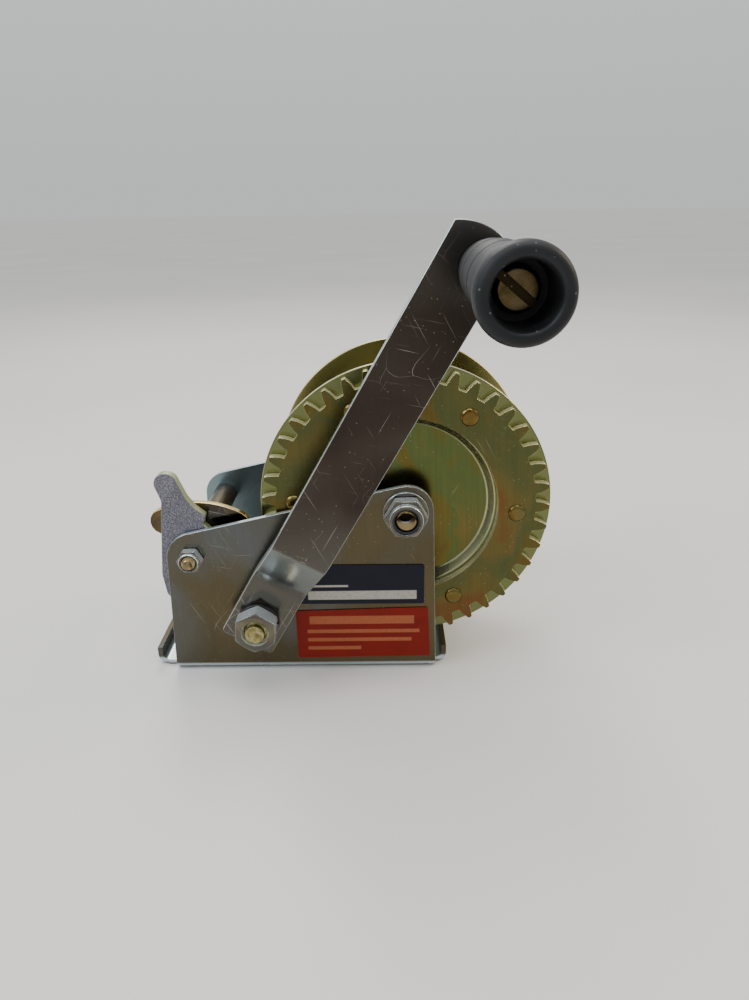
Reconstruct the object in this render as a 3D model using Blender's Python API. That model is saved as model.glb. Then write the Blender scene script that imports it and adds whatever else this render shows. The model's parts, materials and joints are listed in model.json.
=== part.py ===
"""Boat trailer winch: a folded steel frame that holds a geared strap drum, a crank and a pawl.

Metres, +Z up.  The origin is the middle of the underside of the base.  The drum, crank, grip
and pawl all turn about axes parallel to Y.  The crank is on the -Y side, the near side.
"""
import math

import bmesh
import bpy
import numpy as np
from mathutils import Matrix, Vector

for leftover in list(bpy.data.objects):
    bpy.data.objects.remove(leftover)

# ---------------------------------------------------------------- driving dimensions
GAP = 0.0003                 # air left between two pieces that touch

SHEET = 0.0025               # frame sheet thickness
FRAME_HALF_WIDTH = 0.0420    # to the outer faces of the side plates
FRAME_HALF_LENGTH = 0.0700   # to the outer faces of the end lips
BEND_RADIUS = 0.0050         # outer radius of every bend in the frame
LIP_HEIGHT = 0.0090
BASE_SLOTS = [(-0.0400, 0.0), (0.0360, -0.0200), (0.0360, 0.0200)]   # x, y of the bolt slots

MODULE = 0.0030              # tooth size of the gear pair
GEAR_TEETH = 41
PINION_TEETH = 13
PRESSURE_ANGLE = math.radians(20)
BACKLASH = 0.0004            # taken off each tooth at the pitch circle
WIDE_GAP = 0.0011            # the ring gear's punched teeth are thinner by this

DRUM_AXIS = (0.0505, 0.0812)             # x, z
MESH_ANGLE = math.radians(215)           # direction from the drum axis to the crank axis
PAWL_AXIS = (-0.0465, 0.0600)            # x, z

FLANGE_RADIUS = 0.0652                   # the near flange, behind the ring gear
FAR_FLANGE_RADIUS = 0.0635
STRAP_WIDTH = 0.0555                     # clear width between the drum's flanges
GEAR_THICKNESS = 0.0045
GEAR_HOLE_RADIUS = 0.0412
RIVET_CIRCLE = 0.0496
FIRST_RIVET = math.radians(56.6)

ARM_ANGLE = math.radians(60)             # lean of the crank arm at rest
ARM_WIDTH = 0.0250
ARM_THICKNESS = 0.0050
CRANK_NUT_TURN = math.radians(25)        # where the nut stops when it is tight
ARM_BELOW_SHAFT = 0.0130                 # from the crank axis to the arm's square end
CRANK_THROW = 0.1775                     # crank axis to grip axis, along the arm
GRIP_OFFSET = 0.0065                     # grip axis to the line through the crank axis

PLATE_BOLT = 0.0050                      # thread radius of the drum bolt and the crank shaft
SMALL_BOLT = 0.0040                      # thread radius of the strap bolt and the grip screw
PAWL_BOLT = 0.0030

# ---------------------------------------------------------------- sizes worked out from them
INNER_FACE = FRAME_HALF_WIDTH - SHEET    # |y| of a side plate's inner face
BUSH_END = FRAME_HALF_WIDTH + GAP + 0.0015
CENTRE_DISTANCE = MODULE * (GEAR_TEETH + PINION_TEETH) / 2
CRANK_AXIS = (
    DRUM_AXIS[0] + CENTRE_DISTANCE * math.cos(MESH_ANGLE),
    DRUM_AXIS[1] + CENTRE_DISTANCE * math.sin(MESH_ANGLE),
)
GEAR_FRONT = -INNER_FACE + 0.0020
GEAR_BACK = GEAR_FRONT + GEAR_THICKNESS
FLANGE_FRONT = GEAR_BACK + GAP
FLANGE_SHEET = 0.0020
DISH_DEPTH = 0.0037                      # how far each flange's middle is pressed inwards
WINDING_FRONT = FLANGE_FRONT + DISH_DEPTH + FLANGE_SHEET
WINDING_BACK = WINDING_FRONT + STRAP_WIDTH
ARM_BACK = -FRAME_HALF_WIDTH - 0.0080    # y of the arm's back face at the shaft
ARM_JOGGLE = 0.0150                      # how far the arm steps out beyond the shaft
ARM_MIDDLE = ARM_BACK - ARM_THICKNESS / 2
ARM_TOP_FRONT = ARM_BACK - ARM_THICKNESS - ARM_JOGGLE

# ---------------------------------------------------------------- colour, metallic, roughness
FINISHES = {
    "clear_zinc": ((0.62, 0.64, 0.63), 1.0, 0.32),
    "yellow_zinc": ((0.62, 0.52, 0.22), 1.0, 0.34),
    "arm_zinc": ((0.42, 0.41, 0.40), 1.0, 0.28),
    "bright_zinc": ((0.74, 0.76, 0.78), 1.0, 0.22),
    "pawl_grey": ((0.23, 0.23, 0.25), 0.6, 0.55),
    "spring_steel": ((0.30, 0.30, 0.31), 1.0, 0.30),
    "black_rubber": ((0.035, 0.037, 0.040), 0.0, 0.55),
    "nylon": ((0.10, 0.12, 0.20), 0.0, 0.45),
    "dark_vinyl": ((0.035, 0.045, 0.085), 0.0, 0.40),
    "red_vinyl": ((0.42, 0.035, 0.015), 0.0, 0.45),
}


# ---------------------------------------------------------------- helpers
def make_finish(piece_name, finish):
    colour, metallic, roughness = FINISHES[finish]
    material = bpy.data.materials.new(piece_name + "_finish")
    material.use_nodes = True
    shader = material.node_tree.nodes["Principled BSDF"]
    shader.inputs["Base Color"].default_value = (*colour, 1.0)
    shader.inputs["Metallic"].default_value = metallic
    shader.inputs["Roughness"].default_value = roughness
    return material


def make_axis(name, x, z, parent=None):
    """An empty on a joint's axis; x and z are measured from the parent."""
    axis = bpy.data.objects.new(name, None)
    axis.empty_display_size = 0.01
    axis.location = (x, 0, z)
    axis.parent = parent
    bpy.context.collection.objects.link(axis)
    return axis


def add_piece(name, bm, finish, parent=None):
    """Turn a finished bmesh into a named object with a material of its own."""
    bmesh.ops.recalc_face_normals(bm, faces=bm.faces[:])
    mesh = bpy.data.meshes.new(name)
    bm.to_mesh(mesh)
    bm.free()
    mesh.shade_smooth()
    mesh.set_sharp_from_angle(angle=math.radians(30))
    mesh.materials.append(make_finish(name, finish))
    piece = bpy.data.objects.new(name, mesh)
    piece.parent = parent
    bpy.context.collection.objects.link(piece)
    return piece


def thicken(piece, thickness):
    """Give a sheet, drawn on its middle surface, its thickness."""
    solidify = piece.modifiers.new("thickness", "SOLIDIFY")
    solidify.thickness = thickness
    solidify.offset = 0
    solidify.use_even_offset = True


def circle(radius, centre=(0.0, 0.0), segments=24):
    return arc(centre, radius, 0, 360, segments)[:-1]


def arc(centre, radius, start, end, segments):
    """Points along an arc; the angles are in degrees, and may run either way."""
    angles = [math.radians(start + (end - start) * i / segments) for i in range(segments + 1)]
    return [(centre[0] + radius * math.cos(a), centre[1] + radius * math.sin(a)) for a in angles]


def capsule(centre, half_run, radius, segments=8):
    """A slot's outline, with its straight sides along the first axis."""
    right = arc((centre[0] + half_run, centre[1]), radius, -90, 90, segments)
    left = arc((centre[0] - half_run, centre[1]), radius, 90, 270, segments)
    return right + left


def fillet(corners, segments=5):
    """Round the corners (x, z, radius) of an outline; a radius of 0 keeps the corner."""
    outline = []
    for index, (x, z, radius) in enumerate(corners):
        corner = Vector((x, z))
        if radius == 0:
            outline.append((x, z))
            continue
        back = (Vector(corners[index - 1][:2]) - corner).normalized()
        ahead = (Vector(corners[(index + 1) % len(corners)][:2]) - corner).normalized()
        half = back.angle(ahead) / 2
        centre = corner + (back + ahead).normalized() * radius / math.sin(half)
        first = corner + back * radius / math.tan(half) - centre
        last = corner + ahead * radius / math.tan(half) - centre
        turn = math.atan2(first.x * last.y - first.y * last.x, first.dot(last))
        for i in range(segments + 1):
            outline.append(tuple(centre + Matrix.Rotation(turn * i / segments, 2) @ first))
    return outline


def fill(bm, outline, holes, place):
    """Fill a flat outline and leave its holes open; place turns its points into space."""
    edges = []
    for loop in [outline, *holes]:
        verts = [bm.verts.new(place(*point)) for point in loop]
        edges += [bm.edges.new((verts[i - 1], verts[i])) for i in range(len(verts))]
    bmesh.ops.triangle_fill(bm, edges=edges, use_beauty=True)


def plate(name, outline, holes, y_front, y_back, finish, parent=None):
    """A flat plate: an outline in x and z with holes, between two values of y."""
    bm = bmesh.new()
    fill(bm, outline, holes, lambda x, z: (x, y_front, z))
    grown = bmesh.ops.extrude_face_region(bm, geom=bm.faces[:])
    moved = [item for item in grown["geom"] if isinstance(item, bmesh.types.BMVert)]
    bmesh.ops.translate(bm, vec=(0, y_back - y_front, 0), verts=moved)
    return add_piece(name, bm, finish, parent)


def ring_point(section, angle):
    """A point on the edge of a round section (y, radius) or a hexagon (y, half flats, 6)."""
    y, radius, sides = (*section, 0)[:3]
    if sides:
        wedge = 2 * math.pi / sides
        radius /= math.cos(angle % wedge - wedge / 2)
    return (radius * math.cos(angle), y, radius * math.sin(angle))


def turned(name, sections, finish, parent=None, hollow=False, segments=24):
    """A piece turned about Y from its sections, in order along its outline.

    A solid piece is closed with a flat face at its first and last sections.  On a hollow
    one the last section joins the first, round the bore.
    """
    bm = bmesh.new()
    rings = []
    for section in sections:
        points = [ring_point(section, 2 * math.pi * i / segments) for i in range(segments)]
        rings.append([bm.verts.new(point) for point in points])
    pairs = list(zip(rings, rings[1:]))
    if hollow:
        pairs.append((rings[-1], rings[0]))
    else:
        bm.faces.new(rings[0])
        bm.faces.new(rings[-1])
    for ring, following in pairs:
        for i in range(segments):
            bm.faces.new((ring[i - 1], ring[i], following[i], following[i - 1]))
    return add_piece(name, bm, finish, parent)


def tube(name, radius, bore, y_front, y_back, finish, parent=None, segments=24):
    """A washer, spacer or sleeve."""
    sections = [(y_front, bore), (y_front, radius), (y_back, radius), (y_back, bore)]
    return turned(name, sections, finish, parent, hollow=True, segments=segments)


def plain_nut(name, half_flats, bore, y_front, y_back, parent, finish="bright_zinc"):
    sections = [(y_front, bore), (y_front, half_flats, 6), (y_back, half_flats, 6), (y_back, bore)]
    return turned(name, sections, finish, parent, hollow=True)


def lock_nut(name, thread, half_flats, hex_length, seat, parent):
    """A nut with a nylon ring held in its round collar, and the ring; it faces -Y."""
    bore = thread + GAP
    collar = half_flats * 0.90
    recess = collar - 0.0007
    lip = thread + 0.0009
    collar_start = seat - hex_length
    collar_end = collar_start - 0.5 * thread
    sections = [
        (seat, bore), (seat, half_flats, 6), (collar_start, half_flats, 6),
        (collar_start, collar), (collar_end + 0.0004, collar), (collar_end, collar - 0.0005),
        (collar_end, lip), (collar_end + 0.0005, recess), (collar_start, recess),
        (collar_start, bore),
    ]
    turned(name, sections, "bright_zinc", parent, hollow=True)
    ring_front = collar_end + 0.0005 + GAP
    ring_back = collar_start - GAP
    tube(name + "_nylon_ring", recess - GAP, bore, ring_front, ring_back, "nylon", parent)


def drill(piece, holes, y_front, y_back):
    """Cut round holes (x, z, radius), parallel to Y, through a piece."""
    bm = bmesh.new()
    for x, z, radius in holes:
        centre = Matrix.Translation((x, (y_front + y_back) / 2, z))
        upright = Matrix.Rotation(math.pi / 2, 4, "X")
        bmesh.ops.create_cone(
            bm, cap_ends=True, segments=16, radius1=radius, radius2=radius,
            depth=y_back - y_front, matrix=centre @ upright,
        )
    mesh = bpy.data.meshes.new(piece.name + "_drill")
    bm.to_mesh(mesh)
    bm.free()
    cutter = bpy.data.objects.new(mesh.name, mesh)
    cutter.parent = piece.parent
    cutter.hide_render = True
    cutter.display_type = "WIRE"
    bpy.context.collection.objects.link(cutter)
    boolean = piece.modifiers.new("holes", "BOOLEAN")
    boolean.object = cutter
    boolean.solver = "EXACT"


# ---------------------------------------------------------------- frame
def bend_path(start, middle):
    """The quarter turn at the foot of a wall, as (distance out, height)."""
    radius = BEND_RADIUS - middle
    steps = [math.radians(90 * i / 4) for i in range(5)]
    return [(start + radius * math.sin(a), BEND_RADIUS - radius * math.cos(a)) for a in steps]


def add_strip(bm, path, place):
    """Join the points of a path, at its two ends, into a strip of faces."""
    rows = [[bm.verts.new(place(out, height, end)) for end in (0, 1)] for out, height in path]
    for row, following in zip(rows, rows[1:]):
        bm.faces.new((row[0], row[1], following[1], following[0]))


def make_frame():
    """The floor, side plates and end lips, folded from one sheet."""
    middle = SHEET / 2
    floor_y = FRAME_HALF_WIDTH - BEND_RADIUS
    floor_x = FRAME_HALF_LENGTH - BEND_RADIUS
    wall_y = FRAME_HALF_WIDTH - middle
    corner_relief = 0.0005
    lip_y = floor_y - corner_relief
    left_foot = -0.0597
    right_foot = floor_x - corner_relief
    nose_radius = 0.0120
    top_slope = math.radians(12.5)
    left_top = -0.0572

    tangent = arc(DRUM_AXIS, nose_radius, 90 + math.degrees(top_slope), 0, 10)
    drop = (tangent[0][0] - left_top) * math.tan(top_slope)
    left_corner = (left_top, tangent[0][1] - drop, 0.0075)
    wall = [(left_foot, BEND_RADIUS)]
    wall += fillet([(left_foot, BEND_RADIUS, 0), left_corner, (*tangent[0], 0)])[1:]
    wall += tangent[1:] + [(right_foot, BEND_RADIUS)]
    bush_hole = 0.0088
    holes = [
        circle(PLATE_BOLT + 0.0004, DRUM_AXIS, 16),
        circle(bush_hole, CRANK_AXIS),
        circle(PAWL_BOLT + 0.0004, PAWL_AXIS, 16),
    ]
    floor = [
        (-floor_x, -lip_y), (left_foot, -floor_y), (right_foot, -floor_y), (floor_x, -lip_y),
        (floor_x, lip_y), (right_foot, floor_y), (left_foot, floor_y), (-floor_x, lip_y),
    ]
    slots = [capsule(centre, 0.0050, 0.0045) for centre in BASE_SLOTS]

    bm = bmesh.new()
    fill(bm, floor, slots, lambda x, y: (x, y, middle))
    for side in (-1, 1):
        fill(bm, wall, holes, lambda x, z, side=side: (x, side * wall_y, z))
        foot_ends = (left_foot, right_foot)
        add_strip(
            bm, bend_path(floor_y, middle),
            lambda out, height, end, side=side: (foot_ends[end], side * out, height),
        )
        lip_path = bend_path(floor_x, middle) + [(FRAME_HALF_LENGTH - middle, LIP_HEIGHT)]
        lip_ends = (-lip_y, lip_y)
        add_strip(
            bm, lip_path,
            lambda out, height, end, side=side: (side * out, lip_ends[end], height),
        )
    bmesh.ops.remove_doubles(bm, verts=bm.verts[:], dist=0.00001)
    thicken(add_piece("frame", bm, "clear_zinc"), SHEET)


def make_labels():
    """Two vinyl labels on the near side plate."""
    front = -FRAME_HALF_WIDTH - GAP - 0.00015
    back = -FRAME_HALF_WIDTH - GAP
    dark = [(0.0008, 0.0360), (0.0588, 0.0356), (0.0588, 0.0556), (0.0008, 0.0560)]
    red = [(-0.0008, 0.0068), (0.0618, 0.0072), (0.0606, 0.0336), (-0.0008, 0.0322)]
    for name, corners, finish in (
        ("upper_label", dark, "dark_vinyl"), ("lower_label", red, "red_vinyl"),
    ):
        outline = fillet([(x, z, 0.0010) for x, z in corners], 3)
        plate(name, outline, [], front, back, finish)


def make_drum_bolt(axis):
    """The bolt that the drum turns on, and the pieces on it that stay still."""
    bore = PLATE_BOLT + GAP
    half_flats = 0.0085
    outside = FRAME_HALF_WIDTH + GAP
    washer_end = outside + 0.0018
    head_seat = washer_end + GAP
    end = -washer_end - 0.0085
    bolt = [
        (end, PLATE_BOLT - 0.0008), (end + 0.0008, PLATE_BOLT), (head_seat, PLATE_BOLT),
        (head_seat, half_flats, 6), (head_seat + 0.0064, half_flats, 6),
    ]
    turned("drum_bolt", bolt, "bright_zinc", axis)
    tube("drum_sleeve", 0.0075, bore, -INNER_FACE + GAP, INNER_FACE - GAP, "clear_zinc", axis)
    tube("drum_washer_far", 0.0100, bore, outside, washer_end, "bright_zinc", axis)
    tube("drum_washer_near", 0.0100, bore, -washer_end, -outside, "bright_zinc", axis)
    lock_nut("drum_nut", PLATE_BOLT, 0.0082, 0.0062, -head_seat, axis)


def make_shaft_bushes(axis):
    """Flanged bushes, pressed into the side plates from outside, that carry the shaft."""
    bore = 0.0063
    barrel = 0.0085
    flange = 0.0105
    inside = INNER_FACE - GAP
    outside = FRAME_HALF_WIDTH + GAP
    for name, side in (("shaft_bush_near", -1), ("shaft_bush_far", 1)):
        sections = [
            (side * inside, bore), (side * inside, barrel), (side * outside, barrel),
            (side * outside, flange), (side * BUSH_END, flange), (side * BUSH_END, bore),
        ]
        turned(name, sections, "bright_zinc", axis, hollow=True)


def make_pawl_bolt(axis):
    """The bolt that the pawl turns on, its nut, and the tube that spaces the plates."""
    half_flats = 0.0050
    seat = FRAME_HALF_WIDTH + GAP
    end = -seat - 0.0072
    bolt = [
        (end, PAWL_BOLT - 0.0004), (end + 0.0005, PAWL_BOLT), (seat, PAWL_BOLT),
        (seat, half_flats, 6), (seat + 0.0040, half_flats, 6),
    ]
    turned("pawl_bolt", bolt, "bright_zinc", axis)
    lock_nut("pawl_nut", PAWL_BOLT, half_flats, 0.0044, -seat, axis)
    tube("pawl_spacer", 0.0060, PAWL_BOLT + GAP, -0.0300, INNER_FACE - GAP, "clear_zinc", axis)


# ---------------------------------------------------------------- gears
def involute(radius, base_radius):
    angle = math.acos(min(1.0, base_radius / radius))
    return math.tan(angle) - angle


def gear_outline(teeth, root_radius, tip_radius, first_tooth, thinning, root_fillet):
    """Involute teeth, one of them centred on the angle first_tooth.

    Each tooth is thinner than half a pitch by thinning, and spreads by root_fillet at its foot.
    """
    pitch_radius = MODULE * teeth / 2
    base_radius = pitch_radius * math.cos(PRESSURE_ANGLE)
    half_at_pitch = (math.pi * MODULE / 2 - thinning) / (2 * pitch_radius)
    half_at_base = half_at_pitch + involute(pitch_radius, base_radius)
    flank_start = max(base_radius, root_radius + 0.0003)
    steps = [i / 3 for i in range(4)]
    radii = [flank_start + (tip_radius - flank_start) * step for step in steps]
    flank = [(r, half_at_base - involute(r, base_radius)) for r in radii]
    flank.insert(0, (root_radius, half_at_base + root_fillet / root_radius))
    outline = []
    for tooth in range(teeth):
        centre = first_tooth + 2 * math.pi * tooth / teeth
        rising = [(r, centre - half) for r, half in flank]
        falling = [(r, centre + half) for r, half in reversed(flank)]
        for radius, angle in rising + falling:
            outline.append((radius * math.cos(angle), radius * math.sin(angle)))
    return outline


def polar(radius, angle):
    return (radius * math.cos(angle), radius * math.sin(angle))


# ---------------------------------------------------------------- drum
def make_flange(name, radius, rim_y, dish, holes, parent):
    """A pressed disc; dish is how far its middle stands off the rim, towards the hub."""
    inward = math.copysign(1, dish)
    rim_back = rim_y + inward * FLANGE_SHEET
    bore = 0.0080
    wall_outer = GEAR_HOLE_RADIUS - 0.0006
    wall_inner = wall_outer - 0.0036
    turn_in = 0.0010
    sections = [
        (rim_y + dish, bore), (rim_y + dish, wall_inner), (rim_y, wall_outer), (rim_y, radius),
        (rim_back, radius), (rim_back, wall_outer + turn_in),
        (rim_back + dish, wall_inner + turn_in), (rim_back + dish, bore),
    ]
    flange = turned(name, sections, "yellow_zinc", parent, hollow=True, segments=64)
    drill(flange, holes, min(rim_y, rim_back + dish) - 0.001, max(rim_y, rim_back + dish) + 0.001)


def make_drum(axis):
    """Hub, pressed flanges, and the ring gear riveted to the near flange."""
    strap_bolt = polar(0.0270, math.radians(235))
    bolt_hole = (*strap_bolt, SMALL_BOLT + GAP)
    rivets = [polar(RIVET_CIRCLE, FIRST_RIVET + math.radians(60 * i)) for i in range(6)]
    rivet_hole = 0.0028
    near_holes = [(*rivet, rivet_hole) for rivet in rivets] + [bolt_hole]
    make_flange("drum_flange_near", FLANGE_RADIUS, FLANGE_FRONT, DISH_DEPTH, near_holes, axis)
    far_rim = WINDING_BACK + FLANGE_SHEET + DISH_DEPTH
    make_flange("drum_flange_far", FAR_FLANGE_RADIUS, far_rim, -DISH_DEPTH, [bolt_hole], axis)
    hub_front = WINDING_FRONT + GAP
    hub_back = WINDING_BACK - GAP
    tube("drum_hub", 0.0160, 0.0080, hub_front, hub_back, "yellow_zinc", axis, 32)

    gear_root = MODULE * GEAR_TEETH / 2 - 1.25 * MODULE
    gear_tip = MODULE * GEAR_TEETH / 2 + 0.8 * MODULE
    half_tooth = math.pi / GEAR_TEETH
    first_tooth = MESH_ANGLE + half_tooth
    outline = gear_outline(GEAR_TEETH, gear_root, gear_tip, first_tooth, WIDE_GAP, 0)
    holes = [circle(GEAR_HOLE_RADIUS, segments=64)]
    holes += [circle(rivet_hole, rivet, 12) for rivet in rivets]
    plate("ring_gear", outline, holes, GEAR_FRONT, GEAR_BACK, "yellow_zinc", axis)

    shank = 0.0025
    near_seat = GEAR_FRONT - GAP
    far_seat = FLANGE_FRONT + FLANGE_SHEET + GAP
    for number, (x, z) in enumerate(rivets, 1):
        rivet = [
            (near_seat - 0.0010, 0.0024), (near_seat - 0.0007, 0.0034), (near_seat, 0.0039),
            (near_seat, shank), (far_seat, shank),
            (far_seat, 0.0039), (far_seat + 0.0009, 0.0032),
        ]
        piece = turned(f"gear_rivet_{number}", rivet, "yellow_zinc", axis, segments=16)
        piece.location = (x, 0, z)

    half_flats = 0.0065
    head_seat = FLANGE_FRONT + DISH_DEPTH - GAP
    nut_seat = WINDING_BACK + FLANGE_SHEET + GAP
    nut_end = nut_seat + 0.0060
    bolt = [
        (head_seat - 0.0050, half_flats, 6), (head_seat, half_flats, 6),
        (head_seat, SMALL_BOLT), (nut_end + 0.0008, SMALL_BOLT), (nut_end + 0.0014, 0.0034),
    ]
    piece = turned("strap_bolt", bolt, "bright_zinc", axis)
    piece.location = (strap_bolt[0], 0, strap_bolt[1])
    nut = plain_nut("strap_bolt_nut", half_flats, SMALL_BOLT + GAP, nut_seat, nut_end, axis)
    nut.location = piece.location


# ---------------------------------------------------------------- crank
def make_shaft(axis):
    """The crank shaft, with the pieces fixed on it between and beyond the side plates."""
    radius = 0.0060
    bore = radius + GAP
    thread_bore = PLATE_BOLT + GAP
    pinion_front = GEAR_FRONT - 0.0011
    pinion_back = FLANGE_FRONT - 0.0005
    shoulder = ARM_BACK + GAP
    arm_front = ARM_BACK - ARM_THICKNESS
    washer_front = arm_front - GAP - 0.0020
    nut_back = washer_front - GAP
    nut_front = nut_back - 0.0084
    clip_start = BUSH_END + GAP
    clip_end = clip_start + 0.0012
    groove_depth = 0.0006

    shaft = [
        (nut_front - 0.0012, PLATE_BOLT - 0.0008), (nut_front - 0.0004, PLATE_BOLT),
        (shoulder, PLATE_BOLT), (shoulder, radius), (clip_start - 0.0001, radius),
        (clip_start - 0.0001, radius - groove_depth), (clip_end + 0.0002, radius - groove_depth),
        (clip_end + 0.0002, radius), (clip_end + 0.0020, radius), (clip_end + 0.0025, 0.0055),
    ]
    turned("crank_shaft", shaft, "bright_zinc", axis)
    tube("shaft_clip", 0.0088, radius - GAP, clip_start, clip_end, "spring_steel", axis)
    tube(
        "shaft_spacer", 0.0090, bore, pinion_back + GAP, INNER_FACE - 2 * GAP, "clear_zinc", axis,
    )
    tube("crank_collar", 0.0095, bore, shoulder, -BUSH_END - GAP, "bright_zinc", axis)
    lock_back = arm_front - GAP
    tube("crank_lock_washer", 0.0092, thread_bore, washer_front, lock_back, "bright_zinc", axis)
    nut = plain_nut("crank_nut", 0.0086, thread_bore, nut_front, nut_back, axis)
    nut.rotation_euler.y = -CRANK_NUT_TURN

    root = MODULE * PINION_TEETH / 2 - 1.25 * MODULE
    tip = MODULE * PINION_TEETH / 2 + MODULE
    outline = gear_outline(PINION_TEETH, root, tip, MESH_ANGLE + math.pi, BACKLASH, 0.0006)
    plate("pinion", outline, [circle(bore)], pinion_front, pinion_back, "yellow_zinc", axis)


def make_arm(axis):
    """A flat bar, stepped out by two bends to clear the drum bolt, round at the grip end."""
    half = ARM_WIDTH / 2
    shift = -0.0002
    end_radius = 0.0225
    end_centre = (CRANK_THROW - 0.0100, shift)
    spread = math.degrees(math.asin(half / end_radius))
    outline = fillet([
        (-ARM_BELOW_SHAFT, shift + half, 0.0015), (-ARM_BELOW_SHAFT, shift - half, 0.0015),
        (CRANK_THROW, shift - half, 0), (CRANK_THROW, shift + half, 0),
    ], 3)[:-2]
    outline += arc(end_centre, end_radius, -spread, spread, 12)
    holes = [
        circle(PLATE_BOLT + GAP),
        circle(SMALL_BOLT + GAP, (CRANK_THROW, -GRIP_OFFSET)),
    ]
    step_start = 0.0220
    step_end = 0.0445
    out = ARM_MIDDLE - ARM_JOGGLE
    bends = fillet([
        (-0.1, ARM_MIDDLE, 0), (step_start, ARM_MIDDLE, 0.0150), (step_end, out, 0.0080),
        (0.3, out, 0),
    ])
    bm = bmesh.new()
    fill(bm, outline, holes, lambda along, across: (along, 0, across))
    for along, _ in bends[1:-1]:
        geometry = bm.verts[:] + bm.edges[:] + bm.faces[:]
        bmesh.ops.bisect_plane(bm, geom=geometry, plane_co=(along, 0, 0), plane_no=(1, 0, 0))
    stations, heights = zip(*bends)
    for vert in bm.verts:
        vert.co.y = np.interp(vert.co.x, stations, heights)
    arm = add_piece("crank_arm", bm, "arm_zinc", axis)
    arm.rotation_euler.y = -ARM_ANGLE
    thicken(arm, ARM_THICKNESS)


def make_grip(crank_axis):
    """The free-turning grip, and the shoulder screw, washer and nut that hold it."""
    along = Vector(polar(CRANK_THROW, ARM_ANGLE))
    across = Vector(polar(GRIP_OFFSET, ARM_ANGLE - math.pi / 2))
    axis = make_axis("grip_axis", *(along + across), parent=crank_axis)
    washer_front = ARM_TOP_FRONT - GAP - 0.0010
    arm_end = washer_front - GAP
    length = 0.0755
    free_end = arm_end - length
    seat = free_end + 0.0180
    screw_hole = SMALL_BOLT + 0.0005
    body = [
        (arm_end, screw_hole), (arm_end, 0.0104), (arm_end - 0.0070, 0.0110),
        (arm_end - 0.0200, 0.0117), (free_end + 0.0140, 0.0121), (free_end + 0.0090, 0.0130),
        (free_end + 0.0060, 0.0137), (free_end + 0.0030, 0.0138), (free_end + 0.0010, 0.0130),
        (free_end, 0.0116), (free_end, 0.0098), (free_end + 0.0010, 0.0092), (seat, 0.0090),
        (seat, screw_hole),
    ]
    turned("grip", body, "black_rubber", axis, hollow=True, segments=32)

    head_seat = seat - GAP
    nut_back = ARM_TOP_FRONT + ARM_THICKNESS + GAP
    nut_end = nut_back + 0.0048
    screw = [
        (head_seat - 0.0036, 0.0058), (head_seat - 0.0028, 0.0068), (head_seat, 0.0068),
        (head_seat, SMALL_BOLT), (nut_end + 0.0008, SMALL_BOLT), (nut_end + 0.0014, 0.0034),
    ]
    turned("grip_screw", screw, "yellow_zinc", axis)
    bore = SMALL_BOLT + GAP
    tube("grip_washer", 0.0080, bore, washer_front, ARM_TOP_FRONT - GAP, "yellow_zinc", axis)
    plain_nut("grip_nut", 0.0065, bore, nut_back, nut_end, axis, "yellow_zinc")


# ---------------------------------------------------------------- pawl
def make_pawl(axis):
    """A lever with two noses astride the pinion, its thumb plate, and the return spring."""
    hole = circle(PAWL_BOLT + 0.0005, segments=16)
    lever_front = -INNER_FACE + 0.0008
    lever_back = lever_front + 0.0046
    tip_centre = (-0.0085, 0.0342)
    lever = arc(tip_centre, 0.0053, 185, 10, 10)
    first = (*lever[0], 0)
    lever += fillet([
        (-0.0003, 0.0278, 0), (0.0030, 0.0230, 0.0060), (0.0075, 0.0194, 0.0008),
        (0.0064, 0.0150, 0.0010), (0.0110, 0.0100, 0.0030), (0.0208, 0.0032, 0.0016),
        (0.0180, -0.0016, 0.0010), (0.0085, -0.0102, 0.0060), (0.0047, -0.0210, 0.0010),
        (0.0005, -0.0262, 0.0016), (-0.0090, -0.0270, 0.0040), (-0.0142, -0.0200, 0.0030),
        (-0.0155, -0.0100, 0.0100), (-0.0125, 0.0180, 0.0080), (-0.0114, 0.0262, 0.0040),
        first,
    ], 4)[:-1]
    plate("pawl_lever", lever, [hole], lever_front, lever_back, "pawl_grey", axis)

    plate_front = lever_back + GAP
    plate_back = plate_front + 0.0032
    bow = (0.0019, -0.0183)
    bow_outer = 0.0421
    bow_inner = 0.0297
    bow_left = 114.6
    bow_right = 60.0
    stem_left = 105.0
    stem_right = 84.0
    hub = 0.0080
    cap = (bow_outer - bow_inner) / 2
    left_cap = arc(bow, bow_inner + cap, bow_left, bow_left, 1)[0]
    right_cap = arc(bow, bow_inner + cap, bow_right, bow_right, 1)[0]
    outline = arc(left_cap, cap, bow_left + 180, bow_left, 8)[:-1]
    outline += arc(bow, bow_outer, bow_left, bow_right, 10)
    outline += arc(right_cap, cap, bow_right, bow_right - 180, 8)[1:-1]
    outline += arc(bow, bow_inner, bow_right, stem_right, 4)
    outline += arc((0, 0), hub, 45, -225, 16)
    outline += arc(bow, bow_inner, stem_left, bow_left, 2)[:-1]
    plate("pawl_thumb_plate", outline, [hole], plate_front, plate_back, "yellow_zinc", axis)
    spring_front = plate_back + GAP
    tube("pawl_spring", 0.0084, 0.0065, spring_front, spring_front + 0.0070, "spring_steel", axis)


# ---------------------------------------------------------------- assembly
drum_axis = make_axis("drum_axis", *DRUM_AXIS)
crank_axis = make_axis("crank_axis", *CRANK_AXIS)
pawl_axis = make_axis("pawl_axis", *PAWL_AXIS)

make_frame()
make_labels()
make_drum_bolt(drum_axis)
make_shaft_bushes(crank_axis)
make_pawl_bolt(pawl_axis)
make_drum(drum_axis)
make_shaft(crank_axis)
make_arm(crank_axis)
make_grip(crank_axis)
make_pawl(pawl_axis)
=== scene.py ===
"""Looks of a boat trailer winch: a plated steel frame, geared drum, crank, rubber grip and pawl."""
import json
import math

import bmesh
import bpy
from mathutils import Matrix, Vector


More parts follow.
